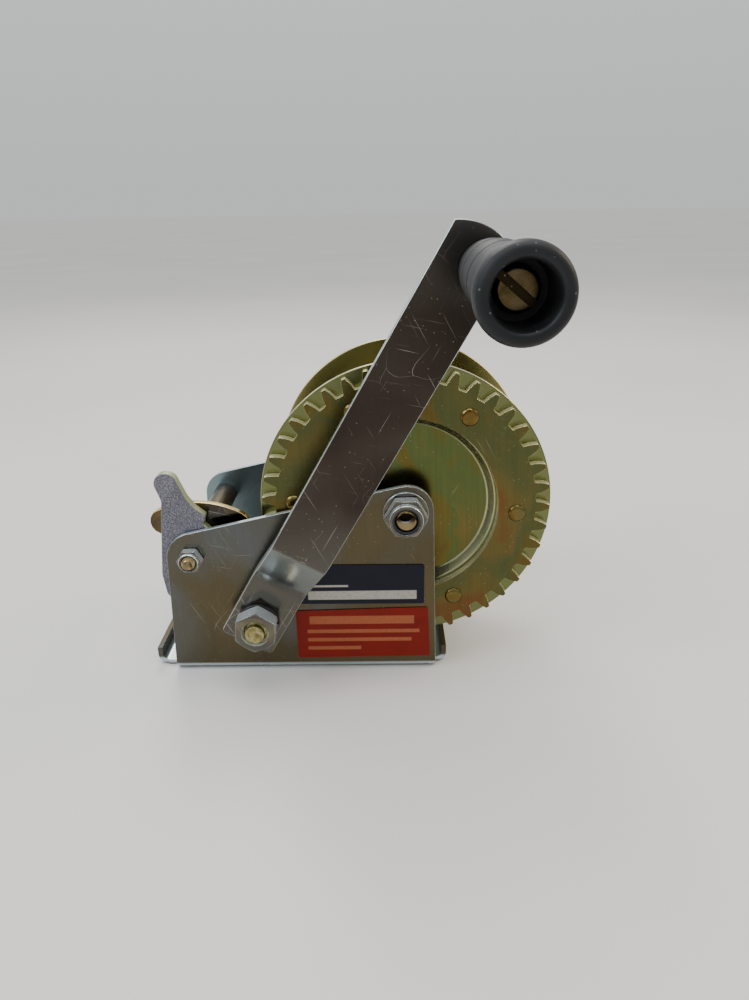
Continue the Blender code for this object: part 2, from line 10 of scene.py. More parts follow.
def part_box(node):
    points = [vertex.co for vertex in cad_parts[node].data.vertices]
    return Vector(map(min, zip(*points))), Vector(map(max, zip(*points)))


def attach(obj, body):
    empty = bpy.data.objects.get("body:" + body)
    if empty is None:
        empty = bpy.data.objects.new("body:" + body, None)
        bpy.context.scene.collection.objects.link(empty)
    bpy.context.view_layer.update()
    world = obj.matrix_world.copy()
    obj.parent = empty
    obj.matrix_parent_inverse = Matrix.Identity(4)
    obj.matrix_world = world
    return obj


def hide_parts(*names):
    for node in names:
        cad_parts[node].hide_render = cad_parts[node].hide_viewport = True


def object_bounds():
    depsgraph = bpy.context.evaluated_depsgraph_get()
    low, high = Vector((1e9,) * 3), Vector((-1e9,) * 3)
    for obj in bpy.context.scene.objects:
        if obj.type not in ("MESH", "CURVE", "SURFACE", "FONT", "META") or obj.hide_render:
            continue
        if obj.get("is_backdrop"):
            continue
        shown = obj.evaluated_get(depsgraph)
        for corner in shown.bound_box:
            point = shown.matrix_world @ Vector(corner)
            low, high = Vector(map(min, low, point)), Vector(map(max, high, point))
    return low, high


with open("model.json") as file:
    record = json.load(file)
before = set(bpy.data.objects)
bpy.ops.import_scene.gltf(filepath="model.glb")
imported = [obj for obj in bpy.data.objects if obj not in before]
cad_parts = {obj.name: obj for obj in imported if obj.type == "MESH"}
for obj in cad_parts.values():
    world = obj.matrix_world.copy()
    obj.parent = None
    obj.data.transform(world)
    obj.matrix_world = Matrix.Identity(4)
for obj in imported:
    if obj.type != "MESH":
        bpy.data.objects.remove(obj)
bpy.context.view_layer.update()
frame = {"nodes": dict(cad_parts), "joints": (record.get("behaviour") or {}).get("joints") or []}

# ---------------------------------------------------------------- camera
# A phone's wide lens, held a little above the winch and close in front of it.
camera_data = bpy.data.cameras.new("camera")
camera_data.sensor_width = 36
camera_data.lens = 26.65
camera_data.clip_start = 0.01
camera = bpy.data.objects.new("camera", camera_data)
bpy.context.collection.objects.link(camera)
bpy.context.scene.camera = camera

camera_place = (0.0419, -0.3413, 0.2087)
look_down = math.radians(22.09)
look_left = math.radians(0.97)
lean = math.radians(-1.09)
camera_turn = Matrix.Rotation(look_left, 4, "Z") @ Matrix.Rotation(math.pi / 2 - look_down, 4, "X")
camera_turn = camera_turn @ Matrix.Rotation(lean, 4, "Z")
camera.matrix_world = Matrix.Translation(camera_place) @ camera_turn


# ---------------------------------------------------------------- studio
# A pale, slightly mottled floor under a soft grey sky, brightest overhead, with four soft boxes:
# a cool one at the left, a warm one at the right, one behind for the sheet's edges, one above.
def fill_sockets(tree, node, sockets):
    """Give a node's inputs values, or link them to other nodes' outputs."""
    for socket, value in sockets.items():
        if isinstance(value, bpy.types.NodeSocket):
            tree.links.new(value, node.inputs[socket])
        else:
            node.inputs[socket].default_value = value


def add_node(tree, kind, sockets, **settings):
    """Add a shader node with its settings, and fill its sockets."""
    node = tree.nodes.new("ShaderNode" + kind)
    for setting, value in settings.items():
        setattr(node, setting, value)
    fill_sockets(tree, node, sockets)
    return node


def new_material(name):
    material = bpy.data.materials.new(name)
    material.use_nodes = True
    tree = material.node_tree
    return material, tree, tree.nodes["Principled BSDF"]


def colour_ramp(tree, value, stops):
    """A ramp through (position, (r, g, b)) stops; returns its colour output."""
    ramp = add_node(tree, "ValToRGB", {"Fac": value})
    elements = ramp.color_ramp.elements
    while len(elements) < len(stops):
        elements.new(0.5)
    for element, (position, colour) in zip(elements, stops):
        element.position = position
        element.color = (*colour, 1)
    return ramp.outputs["Color"]


def map_range(tree, value, low, high, to_low=0.0, to_high=1.0):
    node = add_node(tree, "MapRange", {
        "Value": value, "From Min": low, "From Max": high, "To Min": to_low, "To Max": to_high,
    })
    return node.outputs["Result"]


def where(tree, kind="Object"):
    """The place of the shaded point on its piece, its normal, or its direction in the sky."""
    return add_node(tree, "TexCoord", {}).outputs[kind]


def coordinate(tree, axis, kind="Object"):
    return add_node(tree, "SeparateXYZ", {0: where(tree, kind)}).outputs[axis]


def plain_noise(tree, scale, detail=3.0, distortion=0.0):
    noise = add_node(tree, "TexNoise", {
        "Vector": where(tree), "Scale": scale, "Detail": detail, "Distortion": distortion,
    })
    return noise.outputs["Fac"]


floor_paint, tree, shader = new_material("pale_floor")
floor_tints = [(0.3, (0.60, 0.585, 0.56)), (0.7, (0.66, 0.645, 0.62))]
mottle = colour_ramp(tree, plain_noise(tree, 3.0, 4.0), floor_tints)
fill_sockets(tree, shader, {"Base Color": mottle, "Roughness": 0.45})

bm = bmesh.new()
bmesh.ops.create_grid(bm, x_segments=1, y_segments=1, size=12)
floor_mesh = bpy.data.meshes.new("floor")
bm.to_mesh(floor_mesh)
bm.free()
floor_mesh.materials.append(floor_paint)
floor = bpy.data.objects.new("floor", floor_mesh)
bpy.context.collection.objects.link(floor)
floor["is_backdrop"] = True

world = bpy.data.worlds.new("studio")
world.use_nodes = True
tree = world.node_tree
upward = coordinate(tree, "Z", "Generated")
fill_sockets(tree, tree.nodes["Background"], {
    "Color": (0.86, 0.87, 0.88, 1), "Strength": map_range(tree, upward, 0.02, 0.90, 0.74, 1.20),
})
bpy.context.scene.world = world


def soft_light(name, place, size, power, colour):
    """A square soft box that faces the middle of the winch."""
    data = bpy.data.lights.new(name, "AREA")
    data.size = size
    data.energy = power
    data.color = colour
    light = bpy.data.objects.new(name, data)
    light.location = place
    aim = Vector((0.03, 0, 0.08)) - light.location
    light.rotation_euler = aim.to_track_quat("-Z", "Y").to_euler()
    bpy.context.collection.objects.link(light)


soft_light("cool_left", (-0.95, -0.45, 0.95), 0.7, 9, (0.82, 0.91, 1.0))
soft_light("warm_right", (1.05, 0.15, 0.75), 0.5, 6, (1.0, 0.80, 0.55))
soft_light("edge_behind", (-0.15, 0.90, 0.95), 0.5, 6, (1.0, 0.97, 0.92))
soft_light("overhead", (0.05, -0.15, 1.30), 0.8, 7, (1.0, 1.0, 1.0))

# ---------------------------------------------------------------- frame
# The floor, side plates and end lips are one steel sheet, punched, folded and then plated with
# clear zinc.  Its cut edges and the foot of its folds carry painted highlights.
MM = 0.001
axis_of = {joint["name"]: (joint["pos_m"][0], joint["pos_m"][2]) for joint in frame["joints"]}
drum_axis = axis_of["drum_spin"]
crank_axis = axis_of["crank_spin"]
grip_axis = axis_of["grip_spin"]
pawl_axis = axis_of["pawl_pivot"]


def make_group(name, inputs):
    """An empty node group with float inputs; returns it with its group input node."""
    group = bpy.data.node_groups.new(name, "ShaderNodeTree")
    for label, value in inputs:
        socket = group.interface.new_socket(label, in_out="INPUT", socket_type="NodeSocketFloat")
        socket.default_value = value
    group.interface.new_socket("Mask", in_out="OUTPUT", socket_type="NodeSocketFloat")
    return group, group.nodes.new("NodeGroupInput")


def end_group(group, mask):
    group.links.new(mask, group.nodes.new("NodeGroupOutput").inputs["Mask"])


def maths(tree, operation, first, second=0.0):
    return add_node(tree, "Math", {0: first, 1: second}, operation=operation).outputs[0]


def multiply(tree, first, second):
    return maths(tree, "MULTIPLY", first, second)


def vector_maths(tree, operation, sockets):
    return add_node(tree, "VectorMath", sockets, operation=operation).outputs


def stretched_noise(tree, angle, squeeze, scale):
    """Noise drawn out into streaks that lie in the side plates' plane, at an angle to upright."""
    turned_place = add_node(tree, "Mapping", {"Vector": where(tree), "Rotation": (0, angle, 0)})
    drawn = add_node(tree, "Mapping", {
        "Vector": turned_place.outputs["Vector"], "Scale": (1, 1, squeeze),
    })
    noise = add_node(tree, "TexNoise", {
        "Vector": drawn.outputs["Vector"], "Scale": scale, "Detail": 2.0,
    })
    return noise.outputs["Fac"]


# Cloudy patches, where the plating bath left its film thicker.
cloud_group, given = make_group("plating_clouds", [("Scale", 20.0)])
cloud = plain_noise(cloud_group, given.outputs["Scale"], 2.5, 0.6)
end_group(cloud_group, map_range(cloud_group, cloud, 0.33, 0.67))

# The grain that rolling leaves in sheet steel, upright on the side plates and the gear.
grain_group, given = make_group("rolled_grain", [("Scale", 900.0)])
end_group(grain_group, stretched_noise(grain_group, 0.04, 0.035, given.outputs["Scale"]))

# Hairline scratches: short straight ones in three directions, and longer curved ones.
scratch_group, given = make_group("hairline_scratches", [("Scale", 1900.0), ("Spread", 0.5)])
scratches = None
for number, angle in enumerate((0.5, 1.35, 2.6)):
    streaks = stretched_noise(scratch_group, angle, 0.015, given.outputs["Scale"])
    streaks = map_range(scratch_group, streaks, 0.68, 0.74)
    scratches = maths(scratch_group, "MAXIMUM", scratches, streaks) if number else streaks
wander = plain_noise(scratch_group, 28.0, 2.0)
push = vector_maths(scratch_group, "SCALE", {0: (0.05, 0, 0.05), "Scale": wander})[0]
bent_place = vector_maths(scratch_group, "ADD", {0: where(scratch_group), 1: push})[0]
cells = add_node(
    scratch_group, "TexVoronoi", {"Vector": bent_place, "Scale": 62.0}, feature="DISTANCE_TO_EDGE",
)
curved = map_range(scratch_group, cells.outputs["Distance"], 0.001, 0.005, 1.0, 0.0)
curved = multiply(scratch_group, curved, map_range(scratch_group, wander, 0.50, 0.60))
scratches = maths(scratch_group, "MAXIMUM", scratches, curved)
patches = plain_noise(scratch_group, 45.0)
worn_here = maths(scratch_group, "ADD", patches, given.outputs["Spread"])
worn_here = map_range(scratch_group, worn_here, 0.95, 1.10)
end_group(scratch_group, multiply(scratch_group, scratches, worn_here))

# Small bright pits and dust specks.
speck_group, given = make_group("specks", [("Scale", 1000.0), ("Share", 0.06)])
dots = add_node(speck_group, "TexVoronoi", {
    "Vector": where(speck_group), "Scale": given.outputs["Scale"],
})
near_dot = map_range(speck_group, dots.outputs["Distance"], 0.12, 0.26, 1.0, 0.0)
chance = add_node(speck_group, "SeparateColor", {"Color": dots.outputs["Color"]}).outputs[0]
chosen = maths(speck_group, "LESS_THAN", chance, given.outputs["Share"])
end_group(speck_group, multiply(speck_group, near_dot, chosen))

# Painted highlights on the faces that stand square to Y, such as sheared and punched edges.
# Beyond keeps them to plates far enough from y = 0.
edge_highlight_group, given = make_group("sheared_edges", [("Beyond", 0.0)])
facing = maths(edge_highlight_group, "ABSOLUTE", coordinate(edge_highlight_group, "Y", "Normal"))
across = maths(edge_highlight_group, "ABSOLUTE", coordinate(edge_highlight_group, "Y"))
outside = maths(edge_highlight_group, "GREATER_THAN", across, given.outputs["Beyond"])
square = map_range(edge_highlight_group, facing, 0.50, 0.92, 1.0, 0.0)
end_group(edge_highlight_group, multiply(edge_highlight_group, square, outside))


def between(tree, value, given, lower, upper):
    """A mask that is 1 between two of a group's inputs, and fades out over its Step beyond."""
    fades = []
    for limit, operation in ((lower, "SUBTRACT"), (upper, "ADD")):
        beyond = maths(tree, operation, given.outputs[limit], given.outputs["Step"])
        fades.append(map_range(tree, value, beyond, given.outputs[limit]))
    return multiply(tree, *fades)


# A band between two heights.
band_group, given = make_group("height_band", [("Low", 0.0), ("High", 0.01), ("Step", 0.001)])
end_group(band_group, between(band_group, coordinate(band_group, "Z"), given, "Low", "High"))

# All that lies beyond a plane square to Y: towards -Y with Side 1, towards +Y with Side -1.
side_group, given = make_group("beyond_plane", [("Plane", 0.0), ("Side", 1.0)])
along = multiply(side_group, coordinate(side_group, "Y"), given.outputs["Side"])
end_group(side_group, maths(side_group, "LESS_THAN", along, given.outputs["Plane"]))

# A ring on the drum, between two radii from its axis, with soft edges.
ring_group, given = make_group("drum_ring", [("Inner", 0.0), ("Outer", 0.1), ("Step", 0.001)])
drum_middle = (drum_axis[0], 0, drum_axis[1])
out = vector_maths(ring_group, "SUBTRACT", {0: where(ring_group), 1: drum_middle})[0]
out = vector_maths(ring_group, "MULTIPLY", {0: out, 1: (1, 0, 1)})[0]
out = vector_maths(ring_group, "LENGTH", {0: out})["Value"]
end_group(ring_group, between(ring_group, out, given, "Inner", "Outer"))


def use_group(tree, group, **sockets):
    return add_node(tree, "Group", sockets, node_tree=group).outputs["Mask"]


def blend_colour(tree, mask, first, second):
    node = add_node(tree, "Mix", {0: mask, 6: first, 7: second}, data_type="RGBA")
    return node.outputs[2]


def bumpy(tree, height, distance, strength=1.0):
    """A normal tipped by a height; the distance is how deep a full height is."""
    node = add_node(tree, "Bump", {"Height": height, "Distance": distance, "Strength": strength})
    return node.outputs["Normal"]


def plated_steel(name, tints, roughness, clouds=20.0, grain=0.0, scratches=0.0, spread=0.5,
                 specks=0.0, worn=(0.80, 0.80, 0.78), layers=(), metal=1.0):
    """Plated steel: cloudy tints, rolled grain, and scratches and specks worn to bright metal.

    Each layer is a mask group, its inputs and the tint that it brings.
    """
    material, tree, shader = new_material(name)
    cloud = use_group(tree, cloud_group, Scale=clouds)
    grain_mask = use_group(tree, grain_group)
    colour = colour_ramp(tree, cloud, tints)
    grain_shade = map_range(tree, grain_mask, 0.35, 0.65, 0.84, 1.12)
    shaded = vector_maths(tree, "SCALE", {0: colour, "Scale": grain_shade})[0]
    colour = blend_colour(tree, grain, colour, shaded)
    for group, sockets, tint in layers:
        colour = blend_colour(tree, use_group(tree, group, **sockets), colour, (*tint, 1))
    roughness_here = map_range(tree, cloud, 0.0, 1.0, roughness - 0.05, roughness + 0.06)
    height = multiply(tree, grain_mask, 0.25 * grain)
    for amount, mask in (
        (scratches, use_group(tree, scratch_group, Spread=spread) if scratches else None),
        (specks, use_group(tree, speck_group) if specks else None),
    ):
        if mask is not None:
            mask = multiply(tree, mask, amount)
            colour = blend_colour(tree, mask, colour, (*worn, 1))
            height = maths(tree, "SUBTRACT", height, mask)
    fill_sockets(tree, shader, {
        "Base Color": colour, "Roughness": roughness_here, "Metallic": metal,
        "Normal": bumpy(tree, height, 0.04 * MM, 0.6),
    })
    return material


SHARP_FROM = math.radians(35)
MERGE = 0.002 * MM


def finish_piece(name, bm, material, body, nodes, rounding=0.2 * MM):
    """Turn a bmesh into a piece that rides on a body and stands for CAD nodes."""
    bmesh.ops.remove_doubles(bm, verts=bm.verts[:], dist=MERGE)
    bmesh.ops.recalc_face_normals(bm, faces=bm.faces[:])
    mesh = bpy.data.meshes.new(name)
    bm.to_mesh(mesh)
    bm.free()
    mesh.shade_smooth()
    mesh.set_sharp_from_angle(angle=SHARP_FROM)
    mesh.materials.append(material)
    piece = bpy.data.objects.new(name, mesh)
    bpy.context.collection.objects.link(piece)
    if rounding:
        round_edges(piece, rounding)
    else:
        piece.modifiers.new("flat_faces_stay_flat", "WEIGHTED_NORMAL").keep_sharp = True
    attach(piece, body)
    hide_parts(*nodes)
    return piece


def round_edges(piece, width):
    bevel = piece.modifiers.new("rounded_edges", "BEVEL")
    bevel.width = width
    bevel.segments = 2
    bevel.limit_method = "ANGLE"
    bevel.angle_limit = SHARP_FROM
    bevel.harden_normals = True


def round_corners(bm, items, offset, segments, affect="VERTICES"):
    """Round the corners of an outline, or the edges of a solid."""
    bmesh.ops.bevel(
        bm, geom=items, offset=offset, segments=segments, profile=0.5, affect=affect, material=-1,
    )


def verts_of(edges):
    """The verts of some edges, each once, in the same order on every run."""
    return list(dict.fromkeys(vert for edge in edges for vert in edge.verts))


def parts_of(faces):
    """Some faces with their verts and edges, each once, in the same order on every run."""
    parts = dict.fromkeys(part for face in faces for part in (*face.verts, *face.edges))
    return [*parts, *faces]


def join_bmesh(target, source):
    """Add a finished bmesh to another as a separate shell."""
    mesh = bpy.data.meshes.new("joined")
    source.to_mesh(mesh)
    source.free()
    target.from_mesh(mesh)
    bpy.data.meshes.remove(mesh)


def only(kind, items):
    """The verts, edges or faces among what an operator returned."""
    return [item for item in items if isinstance(item, kind)]


frame_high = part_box("frame")[1]
sheet = 2.5 * MM
bend_radius = 5.0 * MM
lip_height = 9.0 * MM
middle = sheet / 2
floor_x = frame_high.x - bend_radius
floor_y = frame_high.y - bend_radius
left_foot = -59.7 * MM
right_foot = 64.5 * MM
lip_y = 36.5 * MM
nose_radius = 12 * MM
top_slope = math.radians(12.5)
corner_x = drum_axis[0] + nose_radius
nose_height = drum_axis[1] + (nose_radius + nose_radius * math.sin(top_slope)) / math.cos(top_slope)
left_x = -57.2 * MM
left_height = nose_height - (corner_x - left_x) * math.tan(top_slope)

bm = bmesh.new()
bmesh.ops.create_grid(bm, x_segments=1, y_segments=1, size=1)
bmesh.ops.scale(bm, vec=(floor_x, floor_y, 1), verts=bm.verts[:])
bmesh.ops.translate(bm, vec=(0, 0, middle), verts=bm.verts[:])
for point, normal in (
    ((left_foot, 0, 0), (1, 0, 0)), ((right_foot, 0, 0), (1, 0, 0)),
    ((0, lip_y, 0), (0, 1, 0)), ((0, -lip_y, 0), (0, 1, 0)),
):
    whole = bm.verts[:] + bm.edges[:] + bm.faces[:]
    bmesh.ops.bisect_plane(bm, geom=whole, plane_co=point, plane_no=normal)


def fold_up(bm, chosen, centre, axis, angle):
    """Bend a row of edges up round a centre, and return the row that ends the bend."""
    swept = bmesh.ops.spin(
        bm, geom=verts_of(chosen) + chosen, cent=centre, axis=axis, angle=angle, steps=8,
    )
    return only(bmesh.types.BMEdge, swept["geom_last"])


def raise_wall(bm, row):
    """Extrude a row of edges, and return the new row's verts."""
    grown = bmesh.ops.extrude_edge_only(bm, edges=row)
    return only(bmesh.types.BMVert, grown["geom"])


def outer_edges(bm, test):
    """The open edges whose middle passes a test."""
    edges = [edge for edge in bm.edges if edge.is_boundary]
    return [edge for edge in edges if test((edge.verts[0].co + edge.verts[1].co) / 2)]


for side in (-1, 1):
    foot = outer_edges(
        bm, lambda point: point.y * side > floor_y - MM and left_foot < point.x < right_foot,
    )
    row = fold_up(bm, foot, (0, side * floor_y, bend_radius), (1, 0, 0), side * math.pi / 2)
    top = raise_wall(bm, row)
    corners = sorted(top, key=lambda vert: vert.co.x)
    corners[0].co = (left_x, corners[0].co.y, left_height)
    corners[-1].co = (corner_x, corners[-1].co.y, nose_height)
    for corner, offset in ((corners[0], 9.5 * MM), (corners[-1], 14.9 * MM)):
        round_corners(bm, [corner], offset, 12)
    lip = outer_edges(
        bm, lambda point: point.x * side > floor_x - MM and abs(point.y) < lip_y and point.z < sheet,
    )
    row = fold_up(bm, lip, (side * floor_x, 0, bend_radius), (0, 1, 0), -side * math.pi / 2)
    top = raise_wall(bm, row)
    bmesh.ops.translate(bm, vec=(0, 0, lip_height - bend_radius), verts=top)

frame_steel = plated_steel(
    "clear_zinc_sheet",
    [(0.0, (0.090, 0.095, 0.092)), (0.45, (0.086, 0.070, 0.038)), (1.0, (0.112, 0.086, 0.042))],
    roughness=0.28, clouds=14.0, grain=0.22, scratches=0.22, spread=0.42, specks=0.18, metal=0.85,
    layers=[
        # Painted light: the far side plate, beyond y = 38 mm, is tinted lighter and bluer, as if
        # lit.
        (side_group, {"Side": -1, "Plane": -38 * MM}, (0.19, 0.25, 0.26)),
        # Painted highlight on the sheet's cut edges.
        (edge_highlight_group, {"Beyond": 39.3 * MM}, (0.82, 0.92, 0.95)),
        # Painted highlight: a pale band at the foot of the sheet, about 0.2 to 4 mm up, over the
        # lower folds and the floor's top.
        (band_group, {"Low": 1.6 * MM, "High": 2.8 * MM, "Step": 1.4 * MM}, (0.55, 0.62, 0.66)),
    ],
)


def settle(piece):
    """Apply a piece's modifiers to its mesh."""
    view = bpy.context.evaluated_depsgraph_get()
    mesh = bpy.data.meshes.new_from_object(piece.evaluated_get(view))
    piece.modifiers.clear()
    piece.data = mesh


def cut_away(piece, bm):
    """Cut the shape in a bmesh out of a piece, and apply the cut."""
    bmesh.ops.recalc_face_normals(bm, faces=bm.faces[:])
    mesh = bpy.data.meshes.new("cutter")
    bm.to_mesh(mesh)
    bm.free()
    cutter = bpy.data.objects.new("cutter", mesh)
    bpy.context.collection.objects.link(cutter)
    boolean = piece.modifiers.new("cut", "BOOLEAN")
    boolean.object = cutter
    boolean.solver = "EXACT"
    settle(piece)
    bpy.data.objects.remove(cutter)


folded_frame = finish_piece(
    "folded_frame", bm, frame_steel, "frame", ["frame"], rounding=0,
)
folded_frame.modifiers.clear()
solidify = folded_frame.modifiers.new("thickness", "SOLIDIFY")
solidify.thickness = sheet
solidify.offset = 0
solidify.use_even_offset = True

slot_cutter = bmesh.new()
for slot_x, slot_y in ((-40.0, 0.0), (36.0, -20.0), (36.0, 20.0)):
    slot_bm = bmesh.new()
    bmesh.ops.create_circle(slot_bm, cap_ends=True, segments=32, radius=4.5 * MM)
    for vert in slot_bm.verts:
        vert.co.x += math.copysign(5.0 * MM, vert.co.x) if abs(vert.co.x) > 0.01 * MM else 0
    grown = bmesh.ops.extrude_face_region(slot_bm, geom=slot_bm.faces[:])
    raised = only(bmesh.types.BMVert, grown["geom"])
    bmesh.ops.translate(slot_bm, vec=(0, 0, 4 * sheet), verts=raised)
    bmesh.ops.translate(slot_bm, vec=(slot_x * MM, slot_y * MM, -2 * sheet), verts=slot_bm.verts[:])
    join_bmesh(slot_cutter, slot_bm)
cut_away(folded_frame, slot_cutter)
folded_frame.data.shade_smooth()
folded_frame.data.set_sharp_from_angle(angle=SHARP_FROM)
round_edges(folded_frame, 0.45 * MM)

# ---------------------------------------------------------------- labels
# Two printed vinyl films on the near side plate, a red one under a black one.  The print is
# plain bars, a little worn.
def vinyl(name, ground, ink, node, bars):
    """A glossy film; each bar is (left, right, bottom, top) as shares of the film."""
    low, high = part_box(node)
    material, tree, shader = new_material(name)
    soft = 0.15 * MM
    print_mask = None
    for left, right, bottom, top in bars:
        mask = None
        for axis, start, end in (("X", left, right), ("Z", bottom, top)):
            base = getattr(low, axis.lower())
            span = getattr(high, axis.lower()) - base
            begin, finish = base + span * start, base + span * end
            along = coordinate(tree, axis)
            rise = map_range(tree, along, begin - soft, begin + soft)
            fall = map_range(tree, along, finish - soft, finish + soft, 1.0, 0.0)
            band = multiply(tree, rise, fall)
            mask = multiply(tree, mask, band) if mask else band
        print_mask = maths(tree, "MAXIMUM", print_mask, mask) if print_mask else mask
    wear = map_range(tree, plain_noise(tree, 900.0), 0.30, 0.55, 0.75, 0.95)
    print_mask = multiply(tree, print_mask, wear)
    cloud = use_group(tree, cloud_group, Scale=60.0)
    darker = [channel * 0.8 for channel in ground]
    shade = colour_ramp(tree, cloud, [(0.0, darker), (1.0, ground)])
    specks = multiply(tree, use_group(tree, speck_group, Scale=700.0, Share=0.04), 0.5)
    colour = blend_colour(tree, print_mask, shade, (*ink, 1))
    colour = blend_colour(tree, specks, colour, (0.02, 0.02, 0.02, 1))
    fill_sockets(tree, shader, {
        "Base Color": colour, "Roughness": map_range(tree, cloud, 0, 1, 0.34, 0.44),
        "Specular IOR Level": 0.15, "Normal": bumpy(tree, plain_noise(tree, 220.0), 0.05 * MM),
    })
    return material


red_bars = [(0.10, 0.88, 0.68, 0.84), (0.08, 0.92, 0.50, 0.57), (0.08, 0.86, 0.33, 0.40),
            (0.08, 0.48, 0.16, 0.23)]
dark_bars = [(0.08, 0.94, 0.12, 0.34), (0.08, 0.40, 0.44, 0.49)]
for node, ground, ink, bars in (
    ("lower_label", (0.19, 0.009, 0.004), (0.34, 0.10, 0.04), red_bars),
    ("upper_label", (0.010, 0.011, 0.020), (0.42, 0.40, 0.35), dark_bars),
):
    film = frame["nodes"][node]
    film.data.materials.clear()
    film.data.materials.append(vinyl(node + "_vinyl", ground, ink, node, bars))


# ---------------------------------------------------------------- drum bolt
# An M10 bolt through both side plates, with a washer each side and a lock nut that faces the
# crank.  The nut's collar is rolled in over a dark blue nylon ring; all are bright zinc plated.
bright_zinc = plated_steel(
    "bright_zinc",
    [(0.0, (0.085, 0.083, 0.075)), (0.5, (0.11, 0.098, 0.070)), (1.0, (0.16, 0.135, 0.090))],
    roughness=0.20, clouds=90.0, scratches=0.25, spread=0.5, specks=0.35,
    # Painted highlight on the hexagon flats, rims and other faces square to Y.
    layers=[(edge_highlight_group, {}, (0.86, 0.95, 1.0))], metal=0.80,
)
bolt_zinc = plated_steel(
    "bronzed_bolt_zinc",
    [(0.0, (0.40, 0.42, 0.46)), (0.5, (0.46, 0.46, 0.45)), (1.0, (0.50, 0.48, 0.42))],
    roughness=0.20, clouds=150.0, specks=0.4,
    layers=[(side_group, {"Plane": -44.0 * MM}, (0.34, 0.25, 0.12))],
)


def turn(bm, axis, profile, closed=True, steps=64):
    """Turn a profile of (y, radius, corner rounding) points about an axis parallel to Y."""
    verts = [bm.verts.new((axis[0] + radius, y, axis[1])) for y, radius, _ in profile]
    for first, second in zip(verts, verts[1:]):
        bm.edges.new((first, second))
    if closed:
        bm.edges.new((verts[-1], verts[0]))
    for vert, (_, _, rounding) in zip(verts, profile):
        if rounding:
            round_corners(bm, [vert], rounding, 4)
    wires = [edge for edge in bm.edges if edge.is_wire]
    bmesh.ops.spin(
        bm, geom=verts_of(wires) + wires, cent=(axis[0], 0, axis[1]), axis=(0, 1, 0),
        angle=2 * math.pi, steps=steps, use_merge=True,
    )
    bmesh.ops.remove_doubles(bm, verts=bm.verts[:], dist=MERGE)


def cut_hexagon(bm, axis, half_flats, low_y, high_y, turned=0):
    """Mill six flats on the stretch of a turned blank between two values of y."""
    for number in range(6):
        angle = math.radians(30 + turned + 60 * number)
        normal = Vector((math.cos(angle), 0, math.sin(angle)))
        point = Vector((axis[0], 0, axis[1])) + normal * half_flats
        chosen = [face for face in bm.faces if low_y <= face.calc_center_median().y <= high_y]
        cut = bmesh.ops.bisect_plane(
            bm, geom=parts_of(chosen), plane_co=point, plane_no=normal, clear_outer=True,
        )
        rim = only(bmesh.types.BMEdge, cut["geom_cut"])
        bmesh.ops.edgeloop_fill(bm, edges=rim)


def hex_blank(start, end, half_flats, both_ends=True):
    """The outer corners of a chamfered round blank, from one face to the other."""
    corner = half_flats * 2 / math.sqrt(3)
    face = half_flats * 0.94
    run = math.copysign((corner - face) * math.tan(math.radians(30)), end - start)
    points = [(start, face, 0), (start + run, corner, 0)] if both_ends else [(start, corner, 0)]
    return points + [(end - run, corner, 0), (end, face, 0)]


def screw_thread(bm, axis, radius, pitch, inner_y, end_y, chamfer):
    """A threaded length that ends at end_y, with its last turns cut back to a cone."""
    direction = math.copysign(1, end_y - inner_y)
    core = radius - 0.61 * pitch
    ridge = [(0, core), (0.06, core), (0.44, radius), (0.56, radius), (0.94, core), (1, core)]
    steps = 32
    turns = math.ceil(abs(end_y - inner_y) / pitch) + 2
    begin = min(inner_y, end_y) - pitch
    verts = [bm.verts.new((axis[0] + out, begin + share * pitch, axis[1])) for share, out in ridge]
    edges = [bm.edges.new(pair) for pair in zip(verts, verts[1:])]
    bmesh.ops.spin(
        bm, geom=verts + edges, cent=(axis[0], 0, axis[1]), axis=(0, 1, 0),
        dvec=(0, pitch / steps, 0), angle=2 * math.pi * turns, steps=steps * turns,
    )
    bmesh.ops.remove_doubles(bm, verts=bm.verts[:], dist=MERGE)
    for cut_y, side in ((min(inner_y, end_y), -1), (max(inner_y, end_y), 1)):
        whole = bm.verts[:] + bm.edges[:] + bm.faces[:]
        cut = bmesh.ops.bisect_plane(
            bm, geom=whole, plane_co=(0, cut_y, 0), plane_no=(0, side, 0), clear_outer=True,
        )
        rim = only(bmesh.types.BMEdge, cut["geom_cut"])
        bmesh.ops.edgeloop_fill(bm, edges=rim)
    for vert in bm.verts:
        away = Vector((vert.co.x - axis[0], 0, vert.co.z - axis[1]))
        limit = radius - chamfer + direction * (end_y - vert.co.y)
        if away.length > limit:
            away *= limit / away.length
            vert.co.x = axis[0] + away.x
            vert.co.z = axis[1] + away.z


def add_bolt(name, node, axis, radius, pitch, half_flats, head_seat, thread_length):
    """A bolt in the side plates, with its hexagon head at +Y and its thread at -Y."""
    low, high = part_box(node)
    head = bmesh.new()
    turn(head, axis, [
        (head_seat, 0, 0), *hex_blank(head_seat, high.y, half_flats, both_ends=False),
        (high.y, 0, 0),
    ], closed=False)
    cut_hexagon(head, axis, half_flats, head_seat - MM, high.y + MM)
    shank_end = low.y + thread_length
    shank = bmesh.new()
    turn(shank, axis, [(shank_end, 0, 0), (shank_end, radius, 0), (head_seat, radius, 0),
                       (head_seat, 0, 0)], closed=False)
    thread = bmesh.new()
    screw_thread(thread, axis, radius, pitch, shank_end, low.y, 0.9 * MM)
    bm = bmesh.new()
    for part in (head, shank, thread):
        join_bmesh(bm, part)
    finish_piece(name, bm, bolt_zinc, "frame", [node], 0.12 * MM)


def box_axis(low, high):
    """The line parallel to Y through the middle of a box, as (x, z)."""
    return (low.x + high.x) / 2, (low.z + high.z) / 2


